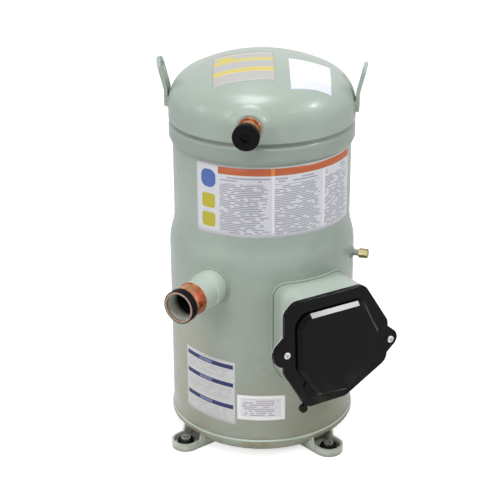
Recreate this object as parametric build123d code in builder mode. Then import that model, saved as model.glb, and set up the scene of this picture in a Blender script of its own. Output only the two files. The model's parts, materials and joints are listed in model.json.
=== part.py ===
"""Hermetic scroll compressor, standing upright on four rubber-bushed feet.

Millimetres. The origin is on the vertical axis at floor level, at the centre of the
mounting bolt square, whose sides lie along X and Y. +Z is up.

A place on the round shell is given by an azimuth, counted from -Y towards +X, and a height.
"""
import os
from math import asin, cos, pi, radians, sin, sqrt

from build123d import *

os.makedirs("parts", exist_ok=True)

# ---------------------------------------------------------------- fits and gaps
fit_gap = 0.05  # radial gap of pieces that are welded, brazed, shrunk or pressed together
running_gap = 0.04  # radial clearance of a journal in its bush
slide_gap = 0.3  # all-round clearance of a piece that slides or lies loosely
film_gap = 0.1  # axial oil film at a thrust face

# ---------------------------------------------------------------- shell
rim_z = 25.0  # lower seam, above the floor
shell_r = 121.5
shell_wall = 3.5
body_h = 240.0  # straight lower cylinder
shoulder_h = 43.0
neck_r = 114.9
neck_h = 126.0
dish_depth = 20.0  # bottom cap below the seam
dish_floor = 4.0
collar_h = 12.0  # bottom cap inside the shell
rim_lip = 2.2  # weld lip, proud of the shell
rim_lip_h = 6.0

cap_wall = 4.5
cap_overlap = 25.0  # skirt around the neck
cap_side_h = 42.5  # skirt edge up to the start of the dome
knuckle_r = 47.0
crown_r = 207.0
groove_r = 4.5
groove_depth = 2.5
groove_height = 21.5  # above the skirt edge
skirt_round = 3.5

# ---------------------------------------------------------------- feet
hole_offset = 13.204  # bolt holes outside the shell's side; makes a 190.5 mm square
foot_plate = 3.0
foot_r = 19.0
foot_root_inset = 23.5  # inner end of a foot, inside the shell's side
foot_rim_low = 11.0
foot_rim_high = 24.0
foot_hole_r = 9.5
foot_round = 1.2
grommet_r = 11.0
grommet_h = 7.0
grommet_lift = 0.4  # grommet and sleeve ends above the floor
sleeve_r = 6.2
sleeve_bore_r = 4.5
sleeve_top = 12.5

# ---------------------------------------------------------------- lifting lugs
lug_azimuths = {"lifting_lug_right": 88.0, "lifting_lug_left": -92.0}
lug_w = 26.0
lug_t = 4.5
lug_low = 37.0  # above the skirt edge
lug_bend = 58.5  # height of the bend above the skirt edge
lug_tab = 41.5  # length of the bent tab
lug_lean = 14.0  # degrees outward
lug_eye_r = 7.0

# ---------------------------------------------------------------- discharge port
discharge_az = -3.0
discharge_rise = 3.5  # port's axis above the start of the dome
discharge_bore_r = 11.2
discharge_wall = 1.3
discharge_reach = 34.5  # tube's end beyond the cap's side
discharge_inset = 14.45  # tube's root inside the cap's side
boss_reach = 3.5
boss_r = 18.0
boss_taper = 24.0
boss_fillet = 18.0
boss_rounding = 1.5
plug_r = 16.5
plug_skirt = 4.0
plug_wall = 4.5
plug_dimple_r = 6.0
plug_dimple = 3.0

# ---------------------------------------------------------------- suction port
suction_az = -27.0
suction_drop = 23.0  # port's axis below the lower cylinder's top
suction_bore_r = 17.53
suction_wall = 2.6
suction_reach = 76.5  # tube's end beyond the shell's side
suction_sleeve_reach = 45.5
suction_sleeve_wall = 3.0
suction_spigot = 27.0
suction_spigot_wall = 1.5
suction_collar_r = 22.5
suction_collar_reach = 19.5
suction_inset = 9.5  # fitting's root inside the shell's side
band_t = 1.3
band_w = 9.5
band_setback = 0.5

# ---------------------------------------------------------------- service valve
valve_az = 77.0
valve_drop = 6.0  # valve's axis below the lower cylinder's top
valve_stem_r = 4.2
valve_bore_r = 2.4
valve_collar_r = 7.0
valve_collar_reach = 3.0
valve_reach = 19.5  # stem's end beyond the shell's side
valve_cap_across = 11.0
valve_cap_l = 12.0
valve_cap_wall = 3.0
valve_cap_chamfer = 0.8
valve_core_l = 12.0
valve_pin_r = 0.8
valve_pin_proud = 0.8
valve_core_set = 1.2  # core's end inside the stem

# ---------------------------------------------------------------- terminal box
box_az = 36.0
box_drop = 88.0  # box's middle below the lower cylinder's top
box_wall = 2.0
box_reach = 42.5  # flange's back beyond the shell's side
box_flange_t = 2.0
box_flange_inset = 2.25  # flange edge inside the cover's edge
gasket_t = 1.5
gasket_inset = 3.0
cover_rim_t = 6.0
cover_panel_t = 7.5
cover_wall = 3.0
cover_corner = 15.5
panel_taper = 6.0
panel_bevel = 4.5
pocket_taper = 6.0
latch_r = 5.5
latch_at = (-45.0, -76.0)
rib_at = (-37.5, -50.0)
rib_angle = -58.0
rib_l = 27.0
rib_w = 9.0
rib_groove_w = 3.5
rib_groove = 1.0
screw_r = 2.4
screw_head_r = 4.6
screw_head_h = 3.0
screw_l = 15.0
drive_l = 5.5
drive_w = 1.0
drive_depth = 1.5
nut_boss_r = 5.5
nut_boss_h = 8.0
ear_left = (-73.0, 8.0)
ear_left_r = 17.5
ear_right = (85.0, -11.0)
ear_right_r = 12.5
ear_root_r = 5.0
ear_roots = {"left": [(-60.0, 36.0), (-60.0, -10.0)], "right": [(70.0, 12.0), (70.0, -34.0)]}
entry_r = 11.5
entry_reach = 21.5  # cable entry's axis beyond the shell's side
grommet_lip = 3.0
grommet_inner_t = 2.0
grommet_outer_t = 3.0
entry_bore_r = 7.0

# ---------------------------------------------------------------- electric feedthrough
feed_rise = 51.0  # feedthrough above the box's middle
feed_r = 19.0
feed_depth = 10.0
feed_proud = 3.0
pin_r = 2.0
pin_circle = 9.5
glass_r = 4.4
pin_inset = 17.5  # pins' inner ends inside the shell's side
pin_reach = 28.5
block_w = 46.0
block_h = 36.0
block_t = 12.0
nut_r = 4.2
nut_h = 4.0
ground_v = -30.0
ground_r = 3.0
ground_l = 9.0
lead_r = 1.6
lead_inset = 20.0  # run of each lead inward of its pin

# ---------------------------------------------------------------- motor
stator_rise = 55.0  # stack above the lower seam
motor_room = 140.0  # body height that the stack leaves to bracket, windings and leads
stator_bore_r = 57.0
air_gap = 0.6
slot_count = 24
slot_in = 60.0
slot_l = 27.0
slot_w = 7.0
winding_in = 62.0
winding_out = 102.0
winding_h = 25.0
winding_skin = 1.5  # end winding inside of the bars in the slots
liner_gap = 0.3
bar_count = 20
bar_r = 3.0
bar_circle = 49.0
cage_in = 38.0
cage_h = 10.0
weight_r = 46.0
weight_bore_wall = 7.0
upper_weight_h = 20.0
lower_weight_h = 10.0

# ---------------------------------------------------------------- shaft and bearings
shaft_r = 16.0
tail_r = 12.0
crank_pin_r = 11.0
crank_collar_r = 21.0
crank_collar_h = 7.0
tail_drop = 3.0  # shaft's lower end below the lower seam
oil_bore_r = 2.5
oil_bore_x = 4.0
bush_wall = 3.5
bracket_rise = 17.0  # bracket above the lower seam
bracket_t = 5.0
bracket_hub_r = 24.0
bracket_hub_low = 8.0
bracket_hub_high = 9.0
bracket_arm_w = 26.0
bracket_rim_w = 9.0
bracket_rim_h = 4.0
washer_t = 1.5
bush_r = 16.0
pickup_h = 9.0
pickup_tip_r = 4.0
pickup_wall = 0.95

# ---------------------------------------------------------------- scroll pump
pitch_half = 12.0  # growth of the wrap radius per half turn
wrap_t = 4.5
wrap_halves = 6
wrap_h = 34.0
flank_gap = 0.2
tip_gap = 0.15
orbit_plate_r = 88.0
orbit_plate_t = 12.0
orbit_plate_drop = 84.0  # underside of the orbiting plate below the neck's top
hub_wall = 4.5
hub_h = 28.0
pump_gap = 2.0  # orbiting plate to the pump's side wall
fixed_plate_t = 18.0
fixed_edge_gap = 0.9
port_r = 5.5
port_y = -6.5
inlet_w = 36.0
inlet_h = 24.0
bolt_r = 3.2
bolt_head_r = 5.5
bolt_head_h = 6.0
bolt_bite = 22.0
housing_drop = 40.0  # outer ring below the pump's seat
housing_boss_r = 36.0
main_bearing_h = 44.0
thrust_in = 38.0
thrust_t = 2.9
pad_h = 4.0
pad_r = 67.0
ring_t = 6.0
ring_w = 13.0
key_inset = 6.0  # middle of a key inside the orbiting plate's edge
key_w = 9.0
key_l = 12.0
key_h = 4.5
seal_in = 32.0
seal_out = 54.0
seal_wall = 8.0
seal_depth = 4.0
back_ring_h = 10.0
seal_h = 13.5
separator_t = 4.0
separator_rise = 7.0
separator_seat_gap = 1.0
valve_disc_r = 12.0
valve_disc_t = 1.5
valve_lift = 3.0
guard_t = 3.0
discharge_hub_r = 22.0
baffle_inset = 16.0  # baffle's face inside the shell's wall
baffle_t = 2.0
baffle_span = 32.0
baffle_h = 40.0
magnet_r = 10.0
magnet_h = 5.0
magnet_x = 62.0

# ---------------------------------------------------------------- levels worked out
shell_in_r = shell_r - shell_wall
neck_in_r = neck_r - shell_wall
body_top_z = rim_z + body_h
neck_z = body_top_z + shoulder_h
neck_top_z = neck_z + neck_h
cap_r = neck_r + fit_gap + cap_wall
cap_edge_z = neck_top_z - cap_overlap
dome_z = cap_edge_z + cap_side_h
crown_z = dome_z - sqrt((crown_r - knuckle_r) ** 2 - (cap_r - knuckle_r) ** 2)
dome_angle = asin((dome_z - crown_z) / (crown_r - knuckle_r))
hole_reach = shell_r + hole_offset
foot_square = hole_reach * sqrt(2)
foot_root_r = shell_r - foot_root_inset

discharge_z = dome_z + discharge_rise
discharge_end = cap_r + discharge_reach
discharge_root = cap_r - discharge_inset
boss_end = cap_r + boss_reach
suction_z = body_top_z - suction_drop
suction_end = shell_r + suction_reach
suction_sleeve_end = shell_r + suction_sleeve_reach
suction_collar_end = shell_r + suction_collar_reach
suction_root = shell_r - suction_inset
baffle_r = shell_in_r - baffle_inset
valve_z = body_top_z - valve_drop
valve_end = shell_r + valve_reach
valve_collar_end = shell_r + valve_collar_reach
box_z = body_top_z - box_drop
box_front = shell_r + box_reach
entry_depth = shell_r + entry_reach
feed_z = box_z + feed_rise
pin_inner = shell_r - pin_inset
pin_outer = shell_r + pin_reach
stator_z = rim_z + stator_rise
stack_h = body_h - motor_room
stack_top_z = stator_z + stack_h
bracket_z = rim_z + bracket_rise
tail_z = rim_z - tail_drop

orbit_r = pitch_half - wrap_t - flank_gap
orbit_plate_z = neck_top_z - orbit_plate_drop
orbit_top_z = orbit_plate_z + orbit_plate_t
fixed_face_z = orbit_top_z + wrap_h
fixed_back_z = fixed_face_z + fixed_plate_t
pump_in_r = orbit_plate_r + orbit_r + pump_gap
ring_out = pump_in_r - orbit_r - pump_gap
ring_in = ring_out - ring_w
key_r = orbit_plate_r - key_inset
pad_z = orbit_plate_z - film_gap - thrust_t
floor_z = pad_z - pad_h
recess_r = bush_r + running_gap + bush_wall + fit_gap + hub_wall + orbit_r + pump_gap
hub_z = orbit_plate_z - hub_h
collar_top_z = hub_z - pump_gap
collar_z = collar_top_z - crank_collar_h
main_bearing_z = collar_z - film_gap


# ---------------------------------------------------------------- helpers
def radial_plane(azimuth, height, radius=0.0):
    """A plane that faces outward: x to the right as seen from outside, y up, z outward."""
    a = radians(azimuth)
    return Plane(
        origin=(radius * sin(a), -radius * cos(a), height),
        x_dir=(cos(a), sin(a), 0),
        z_dir=(sin(a), -cos(a), 0),
    )


def side_plane(azimuth):
    """The upright plane through the axis: x outward along the azimuth, y up."""
    a = radians(azimuth)
    return Plane(origin=(0, 0, 0), x_dir=(sin(a), -cos(a), 0), z_dir=(-cos(a), -sin(a), 0))


def ring(outer, inner, low, high, mode=Mode.ADD, centre=(0, 0)):
    """Adds or cuts an upright ring in the part being built."""
    with BuildSketch(Plane.XY.offset(low)) as profile:
        with Locations(centre):
            Circle(outer)
            if inner > 0:
                Circle(inner, mode=Mode.SUBTRACT)
    extrude(profile.sketch, amount=high - low, mode=mode)


def spun(points, mode=Mode.ADD):
    """Adds or cuts the ring swept by an outline of (radius, height) points."""
    with BuildSketch(Plane.XZ) as profile:
        Polygon(*points, align=None)
    revolve(profile.sketch, axis=Axis.Z, mode=mode)


def tube(plane, outer, inner, start, end, mode=Mode.ADD):
    """Adds or cuts a round tube along the plane's normal, from start to end."""
    with BuildSketch(plane.offset(start)) as profile:
        Circle(outer)
        if inner > 0:
            Circle(inner, mode=Mode.SUBTRACT)
    extrude(profile.sketch, amount=end - start, mode=mode)


def arc_about(centre, radius, start, end):
    """Draws an arc about a centre, between two angles in radians."""
    middle = (start + end) / 2
    points = [(centre[0] + radius * cos(a), centre[1] + radius * sin(a)) for a in (start, middle, end)]
    ThreePointArc(*points)
    return points


def dome_lines(inset):
    """Draws the dome from the axis down to the side wall, set in by a wall thickness."""
    knuckle = (cap_r - knuckle_r, dome_z)
    arc_about((0, crown_z), crown_r - inset, pi / 2, dome_angle)
    arc_about(knuckle, knuckle_r - inset, dome_angle, 0)


def shoulder_lines(inset):
    """Draws the shell's side: lower cylinder, smooth shoulder and neck, set in by a wall."""
    drop = shell_r - neck_r
    bend = (shoulder_h**2 + drop**2) / (4 * drop)
    turn = asin(shoulder_h / 2 / bend)
    Line((shell_r - inset, rim_z), (shell_r - inset, body_top_z))
    arc_about((shell_r - bend, body_top_z), bend - inset, 0, turn)
    arc_about((neck_r + bend, neck_z), bend + inset, pi + turn, pi)
    Line((neck_r - inset, neck_z), (neck_r - inset, neck_top_z))


def finish(part, name):
    """Labels a finished piece and writes it to its STEP file."""
    part.part.label = name
    export_step(part.part, f"parts/{name}.step")


# ---------------------------------------------------------------- casing
dish_centre = (shell_r - dish_depth, rim_z)
collar_r = shell_in_r - fit_gap
collar_in_r = collar_r - shell_wall
dish_inner = dish_depth - dish_floor

with BuildPart() as bottom_cap:
    with BuildSketch(Plane.XZ):
        with BuildLine():
            arc_about(dish_centre, dish_depth, 0, -pi / 2)
            Line((shell_r - dish_depth, rim_z - dish_depth), (0, rim_z - dish_depth))
            Line((0, rim_z - dish_depth), (0, rim_z - dish_inner))
            Line((0, rim_z - dish_inner), (collar_in_r - dish_inner, rim_z - dish_inner))
            arc_about((collar_in_r - dish_inner, rim_z), dish_inner, -pi / 2, 0)
            Line((collar_in_r, rim_z), (collar_in_r, rim_z + collar_h))
            Line((collar_in_r, rim_z + collar_h), (collar_r, rim_z + collar_h))
            Line((collar_r, rim_z + collar_h), (collar_r, rim_z))
            Line((collar_r, rim_z), (shell_r, rim_z))
        make_face()
    revolve(axis=Axis.Z)
    ring(shell_r + rim_lip, shell_r - rim_lip_h, rim_z - rim_lip_h, rim_z)
    fillet(bottom_cap.edges().filter_by(GeomType.CIRCLE).group_by(SortBy.RADIUS)[-1], rim_lip * 0.9)
finish(bottom_cap, "bottom_cap")

with BuildPart() as main_shell:
    with BuildSketch(Plane.XZ):
        with BuildLine():
            shoulder_lines(0)
            shoulder_lines(shell_wall)
            Line((shell_r, rim_z), (shell_in_r, rim_z))
            Line((neck_r, neck_top_z), (neck_in_r, neck_top_z))
        make_face()
    revolve(axis=Axis.Z)
    suction_face = radial_plane(suction_az, suction_z)
    feed_face = radial_plane(box_az, feed_z)
    valve_face = radial_plane(valve_az, valve_z)
    tube(suction_face, suction_collar_r + fit_gap, 0, shell_r / 2, shell_r + shell_wall, Mode.SUBTRACT)
    tube(feed_face, feed_r + fit_gap, 0, shell_r / 2, shell_r + shell_wall, Mode.SUBTRACT)
    tube(valve_face, valve_stem_r + fit_gap, 0, shell_r / 2, shell_r + shell_wall, Mode.SUBTRACT)
finish(main_shell, "main_shell")

discharge_face = radial_plane(discharge_az, discharge_z)
discharge_r = discharge_bore_r + discharge_wall
boss_root = cap_r - knuckle_r / 2
with BuildPart() as discharge_boss:
    with BuildSketch(discharge_face.offset(boss_end)):
        Circle(boss_r)
    extrude(amount=-(boss_end - boss_root), taper=-boss_taper)
    outward = Axis((0, 0, discharge_z), discharge_face.z_dir)
    fillet(discharge_boss.faces().sort_by(outward)[-1].edges(), boss_rounding)

with BuildPart() as top_cap:
    with BuildSketch(Plane.XZ):
        with BuildLine():
            dome_lines(0)
            Line((cap_r, dome_z), (cap_r, cap_edge_z))
            Line((cap_r, cap_edge_z), (0, cap_edge_z))
            Line((0, cap_edge_z), (0, crown_z + crown_r))
        make_face()
    revolve(axis=Axis.Z)
    add(discharge_boss.part)
    fillet(top_cap.edges().filter_by(GeomType.BSPLINE), boss_fillet)
    with BuildSketch(Plane.XZ):
        with BuildLine():
            dome_lines(cap_wall)
            Line((cap_r - cap_wall, dome_z), (cap_r - cap_wall, cap_edge_z))
            Line((cap_r - cap_wall, cap_edge_z), (0, cap_edge_z))
            Line((0, cap_edge_z), (0, crown_z + crown_r - cap_wall))
        make_face()
    revolve(axis=Axis.Z, mode=Mode.SUBTRACT)
    tube(discharge_face, discharge_r + fit_gap, 0, boss_root, boss_end + cap_wall, Mode.SUBTRACT)
    with BuildSketch(Plane.XZ):
        with Locations((cap_r + groove_r - groove_depth, cap_edge_z + groove_height)):
            Circle(groove_r)
    revolve(axis=Axis.Z, mode=Mode.SUBTRACT)
    skirt_edges = top_cap.edges().filter_by(GeomType.CIRCLE).group_by(Axis.Z)[0]
    fillet(skirt_edges.sort_by(SortBy.RADIUS)[-1], skirt_round)
finish(top_cap, "top_cap")

# ---------------------------------------------------------------- feet
dish_space_r = dish_depth + fit_gap
space_r = shell_r + fit_gap
with BuildPart() as dish_space:
    with BuildSketch(Plane.XZ):
        with BuildLine():
            arc_about(dish_centre, dish_space_r, 0, -pi / 2)
            Line((dish_centre[0], rim_z - dish_space_r), (0, rim_z - dish_space_r))
            Line((0, rim_z - dish_space_r), (0, rim_z + foot_rim_high))
            Line((0, rim_z + foot_rim_high), (space_r, rim_z + foot_rim_high))
            Line((space_r, rim_z + foot_rim_high), (space_r, rim_z))
        make_face()
    revolve(axis=Axis.Z)
    ring(shell_r + rim_lip + fit_gap, 0, rim_z - rim_lip_h - fit_gap, rim_z + fit_gap)


def foot_outline(inset):
    """Draws a foot's plan: straight sides and a round end about the bolt hole."""
    with Locations((hole_reach, 0)):
        Circle(foot_r - inset)
    with Locations((foot_root_r, 0)):
        Rectangle(hole_reach - foot_root_r, 2 * (foot_r - inset), align=(Align.MIN, Align.CENTER))


feet = {"foot_front_right": -45, "foot_rear_right": 45, "foot_rear_left": 135, "foot_front_left": 225}
for foot_name, turn in feet.items():
    a = radians(turn)
    foot_plan = Plane(origin=(0, 0, 0), x_dir=(cos(a), sin(a), 0), z_dir=(0, 0, 1))
    foot_side = Plane(origin=(0, 0, 0), x_dir=(cos(a), sin(a), 0), z_dir=(sin(a), -cos(a), 0))
    tip = hole_reach + foot_r
    with BuildPart() as foot:
        with BuildSketch(foot_plan) as outline:
            foot_outline(0)
        extrude(amount=foot_rim_high)
        with BuildSketch(foot_plan.offset(foot_plate)) as pan:
            foot_outline(foot_plate)
        extrude(amount=foot_rim_high, mode=Mode.SUBTRACT)
        with BuildSketch(foot_side) as slope:
            with BuildLine():
                Polyline(
                    (shell_r, foot_rim_high),
                    (hole_reach - foot_r / 2, foot_rim_low),
                    (tip, foot_rim_low),
                    (tip, 2 * foot_rim_high),
                    (shell_r, 2 * foot_rim_high),
                    close=True,
                )
            make_face()
        extrude(amount=foot_r, both=True, mode=Mode.SUBTRACT)
        with BuildSketch(foot_plan) as bolt_hole:
            with Locations((hole_reach, 0)):
                Circle(foot_hole_r)
        extrude(amount=foot_plate, mode=Mode.SUBTRACT)
        round_end = foot.edges().filter_by(GeomType.CIRCLE).group_by(Axis.Z)[0].sort_by(SortBy.RADIUS)[-1]
        fillet(round_end, foot_round)
        add(dish_space.part, mode=Mode.SUBTRACT)
    finish(foot, foot_name)

with BuildPart() as mount_grommets:
    with BuildSketch(Plane.XY.offset(foot_plate)):
        with GridLocations(foot_square, foot_square, 2, 2):
            Circle(grommet_r)
    extrude(amount=grommet_h)
    fillet(mount_grommets.edges().group_by(Axis.Z)[-1], grommet_h / 4)
    with BuildSketch(Plane.XY.offset(grommet_lift)):
        with GridLocations(foot_square, foot_square, 2, 2):
            Circle(foot_hole_r - fit_gap)
    extrude(amount=foot_plate - grommet_lift)
    with BuildSketch(Plane.XY):
        with GridLocations(foot_square, foot_square, 2, 2):
            Circle(sleeve_r + fit_gap)
    extrude(amount=sleeve_top, mode=Mode.SUBTRACT)
finish(mount_grommets, "mount_grommets")

with BuildPart() as mount_sleeves:
    with BuildSketch(Plane.XY.offset(grommet_lift)):
        with GridLocations(foot_square, foot_square, 2, 2):
            Circle(sleeve_r)
            Circle(sleeve_bore_r, mode=Mode.SUBTRACT)
    extrude(amount=sleeve_top - grommet_lift)
finish(mount_sleeves, "mount_sleeves")

# ---------------------------------------------------------------- lifting lugs
lean = radians(lug_lean)
lug_foot = (cap_r + fit_gap, cap_edge_z + lug_low)
lug_knee = (lug_foot[0], cap_edge_z + lug_bend)
lug_tip = (lug_knee[0] + lug_tab * sin(lean), lug_knee[1] + lug_tab * cos(lean))
lug_eye = lug_tab - lug_w / 2
for lug_name, azimuth in lug_azimuths.items():
    side = side_plane(azimuth)
    with BuildPart() as lug:
        with BuildSketch(side) as strip:
            with BuildLine():
                Polyline(
                    lug_foot,
                    lug_knee,
                    lug_tip,
                    (lug_tip[0] + lug_t * cos(lean), lug_tip[1] - lug_t * sin(lean)),
                    (lug_knee[0] + lug_t, lug_knee[1] - lug_t * (1 - cos(lean)) / sin(lean)),
                    (lug_foot[0] + lug_t, lug_foot[1]),
                    close=True,
                )
            make_face()
        extrude(amount=lug_w / 2, both=True)
        knee_point = side.from_local_coords((lug_knee[0], lug_knee[1], 0))
        up_tab = side.from_local_coords((lug_tip[0], lug_tip[1], 0)) - knee_point
        tab_plane = Plane(origin=knee_point, x_dir=side.z_dir, z_dir=side.z_dir.cross(up_tab))
        with BuildSketch(tab_plane) as tab_ends:
            with Locations((0, lug_eye)):
                Rectangle(2 * lug_w, lug_w, align=(Align.CENTER, Align.MIN))
                Circle(lug_w / 2, mode=Mode.SUBTRACT)
                Circle(lug_eye_r)
        extrude(amount=2 * lug_t, both=True, mode=Mode.SUBTRACT)
    finish(lug, lug_name)

# ---------------------------------------------------------------- discharge port
with BuildPart() as discharge_stub:
    tube(discharge_face, discharge_r, discharge_bore_r, discharge_root, discharge_end)
    with BuildSketch(discharge_face.offset(discharge_root)) as stop:
        Circle(discharge_r)
        Circle(discharge_bore_r - discharge_wall, mode=Mode.SUBTRACT)
    extrude(amount=discharge_wall)
finish(discharge_stub, "discharge_stub")

with BuildPart() as discharge_plug:
    plug_face = discharge_end + fit_gap + plug_wall
    tube(discharge_face, plug_r, 0, discharge_end - plug_skirt, plug_face)
    outer_end = discharge_plug.faces().sort_by(Axis((0, 0, discharge_z), discharge_face.z_dir))[-1]
    fillet(outer_end.edges(), plug_wall / 4)
    tube(discharge_face, discharge_r + running_gap, 0, boss_root, discharge_end + fit_gap, Mode.SUBTRACT)
    tube(discharge_face, plug_dimple_r, 0, plug_face - plug_dimple, plug_face, Mode.SUBTRACT)
finish(discharge_plug, "discharge_plug")

# ---------------------------------------------------------------- suction port
suction_r = suction_bore_r + suction_wall
spigot_r = suction_bore_r - fit_gap
sleeve_outer_r = suction_bore_r + suction_sleeve_wall
with BuildPart() as suction_fitting:
    tube(suction_face, suction_collar_r, 0, suction_root, suction_collar_end)
    collar_end = suction_fitting.faces().sort_by(Axis((0, 0, suction_z), suction_face.z_dir))[-1]
    chamfer(collar_end.edges(), suction_collar_r - sleeve_outer_r - fit_gap)
    tube(suction_face, sleeve_outer_r, 0, suction_root, suction_sleeve_end)
    tube(suction_face, suction_bore_r, 0, suction_root, suction_sleeve_end, Mode.SUBTRACT)
finish(suction_fitting, "suction_fitting")

with BuildPart() as suction_stub:
    tube(suction_face, suction_r, 0, suction_sleeve_end, suction_end)
    tube(suction_face, spigot_r, 0, suction_sleeve_end - suction_spigot, suction_sleeve_end)
    spigot_bore = spigot_r - suction_spigot_wall
    tube(suction_face, spigot_bore, 0, shell_r, suction_end, Mode.SUBTRACT)
    step_end = suction_sleeve_end + suction_spigot_wall
    tube(suction_face, suction_bore_r, 0, step_end, suction_end, Mode.SUBTRACT)
finish(suction_stub, "suction_stub")

with BuildPart() as suction_band:
    band_end = suction_end - band_setback
    band_in = suction_r + fit_gap
    tube(suction_face, band_in + band_t, band_in, band_end - band_w, band_end)
finish(suction_band, "suction_band")

baffle_base = suction_z - baffle_h / 2
with BuildPart() as suction_baffle:
    baffle_plan = Plane(origin=(0, 0, baffle_base), x_dir=suction_face.z_dir, z_dir=(0, 0, 1))
    sweep_angle = radians(baffle_span / 2)
    inner_reach = shell_in_r - fit_gap
    with BuildSketch(baffle_plan) as outline:
        Circle(inner_reach)
        Circle(baffle_r - baffle_t, mode=Mode.SUBTRACT)
        spread = 2 * shell_r * sin(sweep_angle)
        wedge = [(0, 0), (2 * shell_r, -spread), (2 * shell_r, spread)]
        Polygon(*wedge, align=None, mode=Mode.INTERSECT)
    extrude(amount=baffle_h)
    with BuildSketch(baffle_plan) as pocket:
        Circle(shell_r)
        Circle(baffle_r, mode=Mode.SUBTRACT)
        inner_half = shell_r * sin(sweep_angle) - 2 * baffle_t
        with Locations((shell_r, 0)):
            Rectangle(shell_r, 2 * inner_half * baffle_r / shell_r, mode=Mode.INTERSECT)
    extrude(amount=baffle_h, mode=Mode.SUBTRACT)
finish(suction_baffle, "suction_baffle")

# ---------------------------------------------------------------- service valve
with BuildPart() as service_valve_body:
    tube(valve_face, valve_stem_r, 0, shell_in_r - shell_wall, valve_end)
    tube(valve_face, valve_collar_r, 0, shell_r - shell_wall / 2, valve_collar_end)
    with BuildSketch(Plane.XY.offset(valve_z - valve_collar_r)) as shell_plan:
        Circle(shell_r + fit_gap)
        Circle(shell_in_r - fit_gap, mode=Mode.SUBTRACT)
    extrude(amount=2 * valve_collar_r, mode=Mode.SUBTRACT)
    tube(valve_face, valve_stem_r, 0, shell_in_r - shell_wall, valve_collar_end)
    tube(valve_face, valve_bore_r, 0, shell_in_r - shell_wall, valve_end, Mode.SUBTRACT)
finish(service_valve_body, "service_valve_body")

with BuildPart() as service_valve_core:
    core_end = valve_end - valve_core_set
    core_r = valve_bore_r - running_gap
    tube(valve_face, core_r, 0, core_end - valve_core_l, core_end - valve_core_l / 3)
    tube(valve_face, valve_pin_r, 0, core_end - valve_core_l / 3, core_end + valve_pin_proud)
finish(service_valve_core, "service_valve_core")

with BuildPart() as service_valve_cap:
    cap_end = valve_end + slide_gap + valve_cap_wall
    with BuildSketch(valve_face.offset(cap_end - valve_cap_l)):
        RegularPolygon(valve_cap_across / 2, 6, major_radius=False)
    extrude(amount=valve_cap_l)
    cap_face = service_valve_cap.faces().sort_by(Axis((0, 0, valve_z), valve_face.z_dir))[-1]
    chamfer(cap_face.edges(), valve_cap_chamfer)
    cap_mouth = cap_end - valve_cap_l
    tube(valve_face, valve_stem_r + running_gap, 0, cap_mouth, valve_end + slide_gap, Mode.SUBTRACT)
finish(service_valve_cap, "service_valve_cap")

# ---------------------------------------------------------------- terminal box
box_face = radial_plane(box_az, box_z)
flange_front = box_front + box_flange_t
cover_back = flange_front + gasket_t
cover_front = cover_back + cover_rim_t
panel_front = cover_front + cover_panel_t

# Outlines on the box's face: x to the right, y up from the box's middle.
cover_outline = [(-61, 75), (44, 75), (82, 16), (82, -40), (18, -75), (-42, -75), (-75, -20), (-75, 63)]
panel_outline = [(-48, 58), (40, 58), (67, 6), (64, -36), (17, -65), (-28, -61), (-58, -16), (-60, 44)]
box_outline = [(-52, 73), (46, 73), (62, 44), (62, -36), (16, -66), (-38, -66), (-52, -40)]


def rounded(outline, radius, inset=0.0):
    """Adds an outline with rounded corners, drawn in by an inset."""
    with BuildSketch(mode=Mode.PRIVATE) as shape:
        Polygon(*outline, align=None)
        fillet(shape.vertices(), radius)
        if inset > 0:
            offset(amount=-inset, kind=Kind.INTERSECTION)
    add(shape.sketch)


def ear(centre, radius, roots):
    """Adds a rounded ear with straight sides that run back to its roots."""
    with BuildSketch(mode=Mode.PRIVATE) as shape:
        with Locations(centre):
            Circle(radius)
        with Locations(*roots):
            Circle(ear_root_r)
        make_hull()
    add(shape.sketch)


def cover_plate(plane, inset):
    """Returns a sketch of the cover's outline with its two screw ears."""
    with BuildSketch(plane) as plate:
        rounded(cover_outline, cover_corner, inset)
        ear(ear_left, ear_left_r - inset, ear_roots["left"])
        ear(ear_right, ear_right_r - inset, ear_roots["right"])
    return plate.sketch


with BuildPart() as terminal_box:
    with BuildSketch(box_face.offset(shell_in_r / 2)) as body:
        rounded(box_outline, cover_corner)
    extrude(amount=flange_front - shell_in_r / 2)
    extrude(cover_plate(box_face.offset(box_front), box_flange_inset), amount=box_flange_t)
    with BuildSketch(box_face.offset(box_front - nut_boss_h)) as nuts:
        with Locations(ear_left, ear_right):
            Circle(nut_boss_r)
    extrude(amount=nut_boss_h)
    with BuildSketch(box_face.offset(shell_in_r / 2)) as cavity:
        rounded(box_outline, cover_corner, box_wall)
    extrude(amount=shell_in_r, mode=Mode.SUBTRACT)
    with BuildSketch(box_face.offset(shell_r)) as threads:
        with Locations(ear_left, ear_right):
            Circle(screw_r + fit_gap)
    extrude(amount=shell_r, mode=Mode.SUBTRACT)
    with BuildSketch(Plane.XY) as shell_plan:
        Circle(shell_r + fit_gap)
    extrude(amount=neck_z, mode=Mode.SUBTRACT)
    entry_side = Plane(
        origin=box_face.from_local_coords((box_outline[2][0], 0, entry_depth)),
        x_dir=box_face.z_dir,
        z_dir=box_face.x_dir,
    )
    tube(entry_side, entry_r, 0, -2 * box_wall, box_wall, Mode.SUBTRACT)
finish(terminal_box, "terminal_box")

with BuildPart() as cable_grommet:
    tube(entry_side, entry_r - fit_gap, 0, -box_wall, 0)
    tube(entry_side, entry_r + grommet_lip, 0, -box_wall - grommet_inner_t, -box_wall)
    tube(entry_side, entry_r + grommet_lip, 0, 0, grommet_outer_t)
    tube(entry_side, entry_bore_r, 0, -box_wall - grommet_inner_t, grommet_outer_t, Mode.SUBTRACT)
finish(cable_grommet, "cable_grommet")

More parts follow.
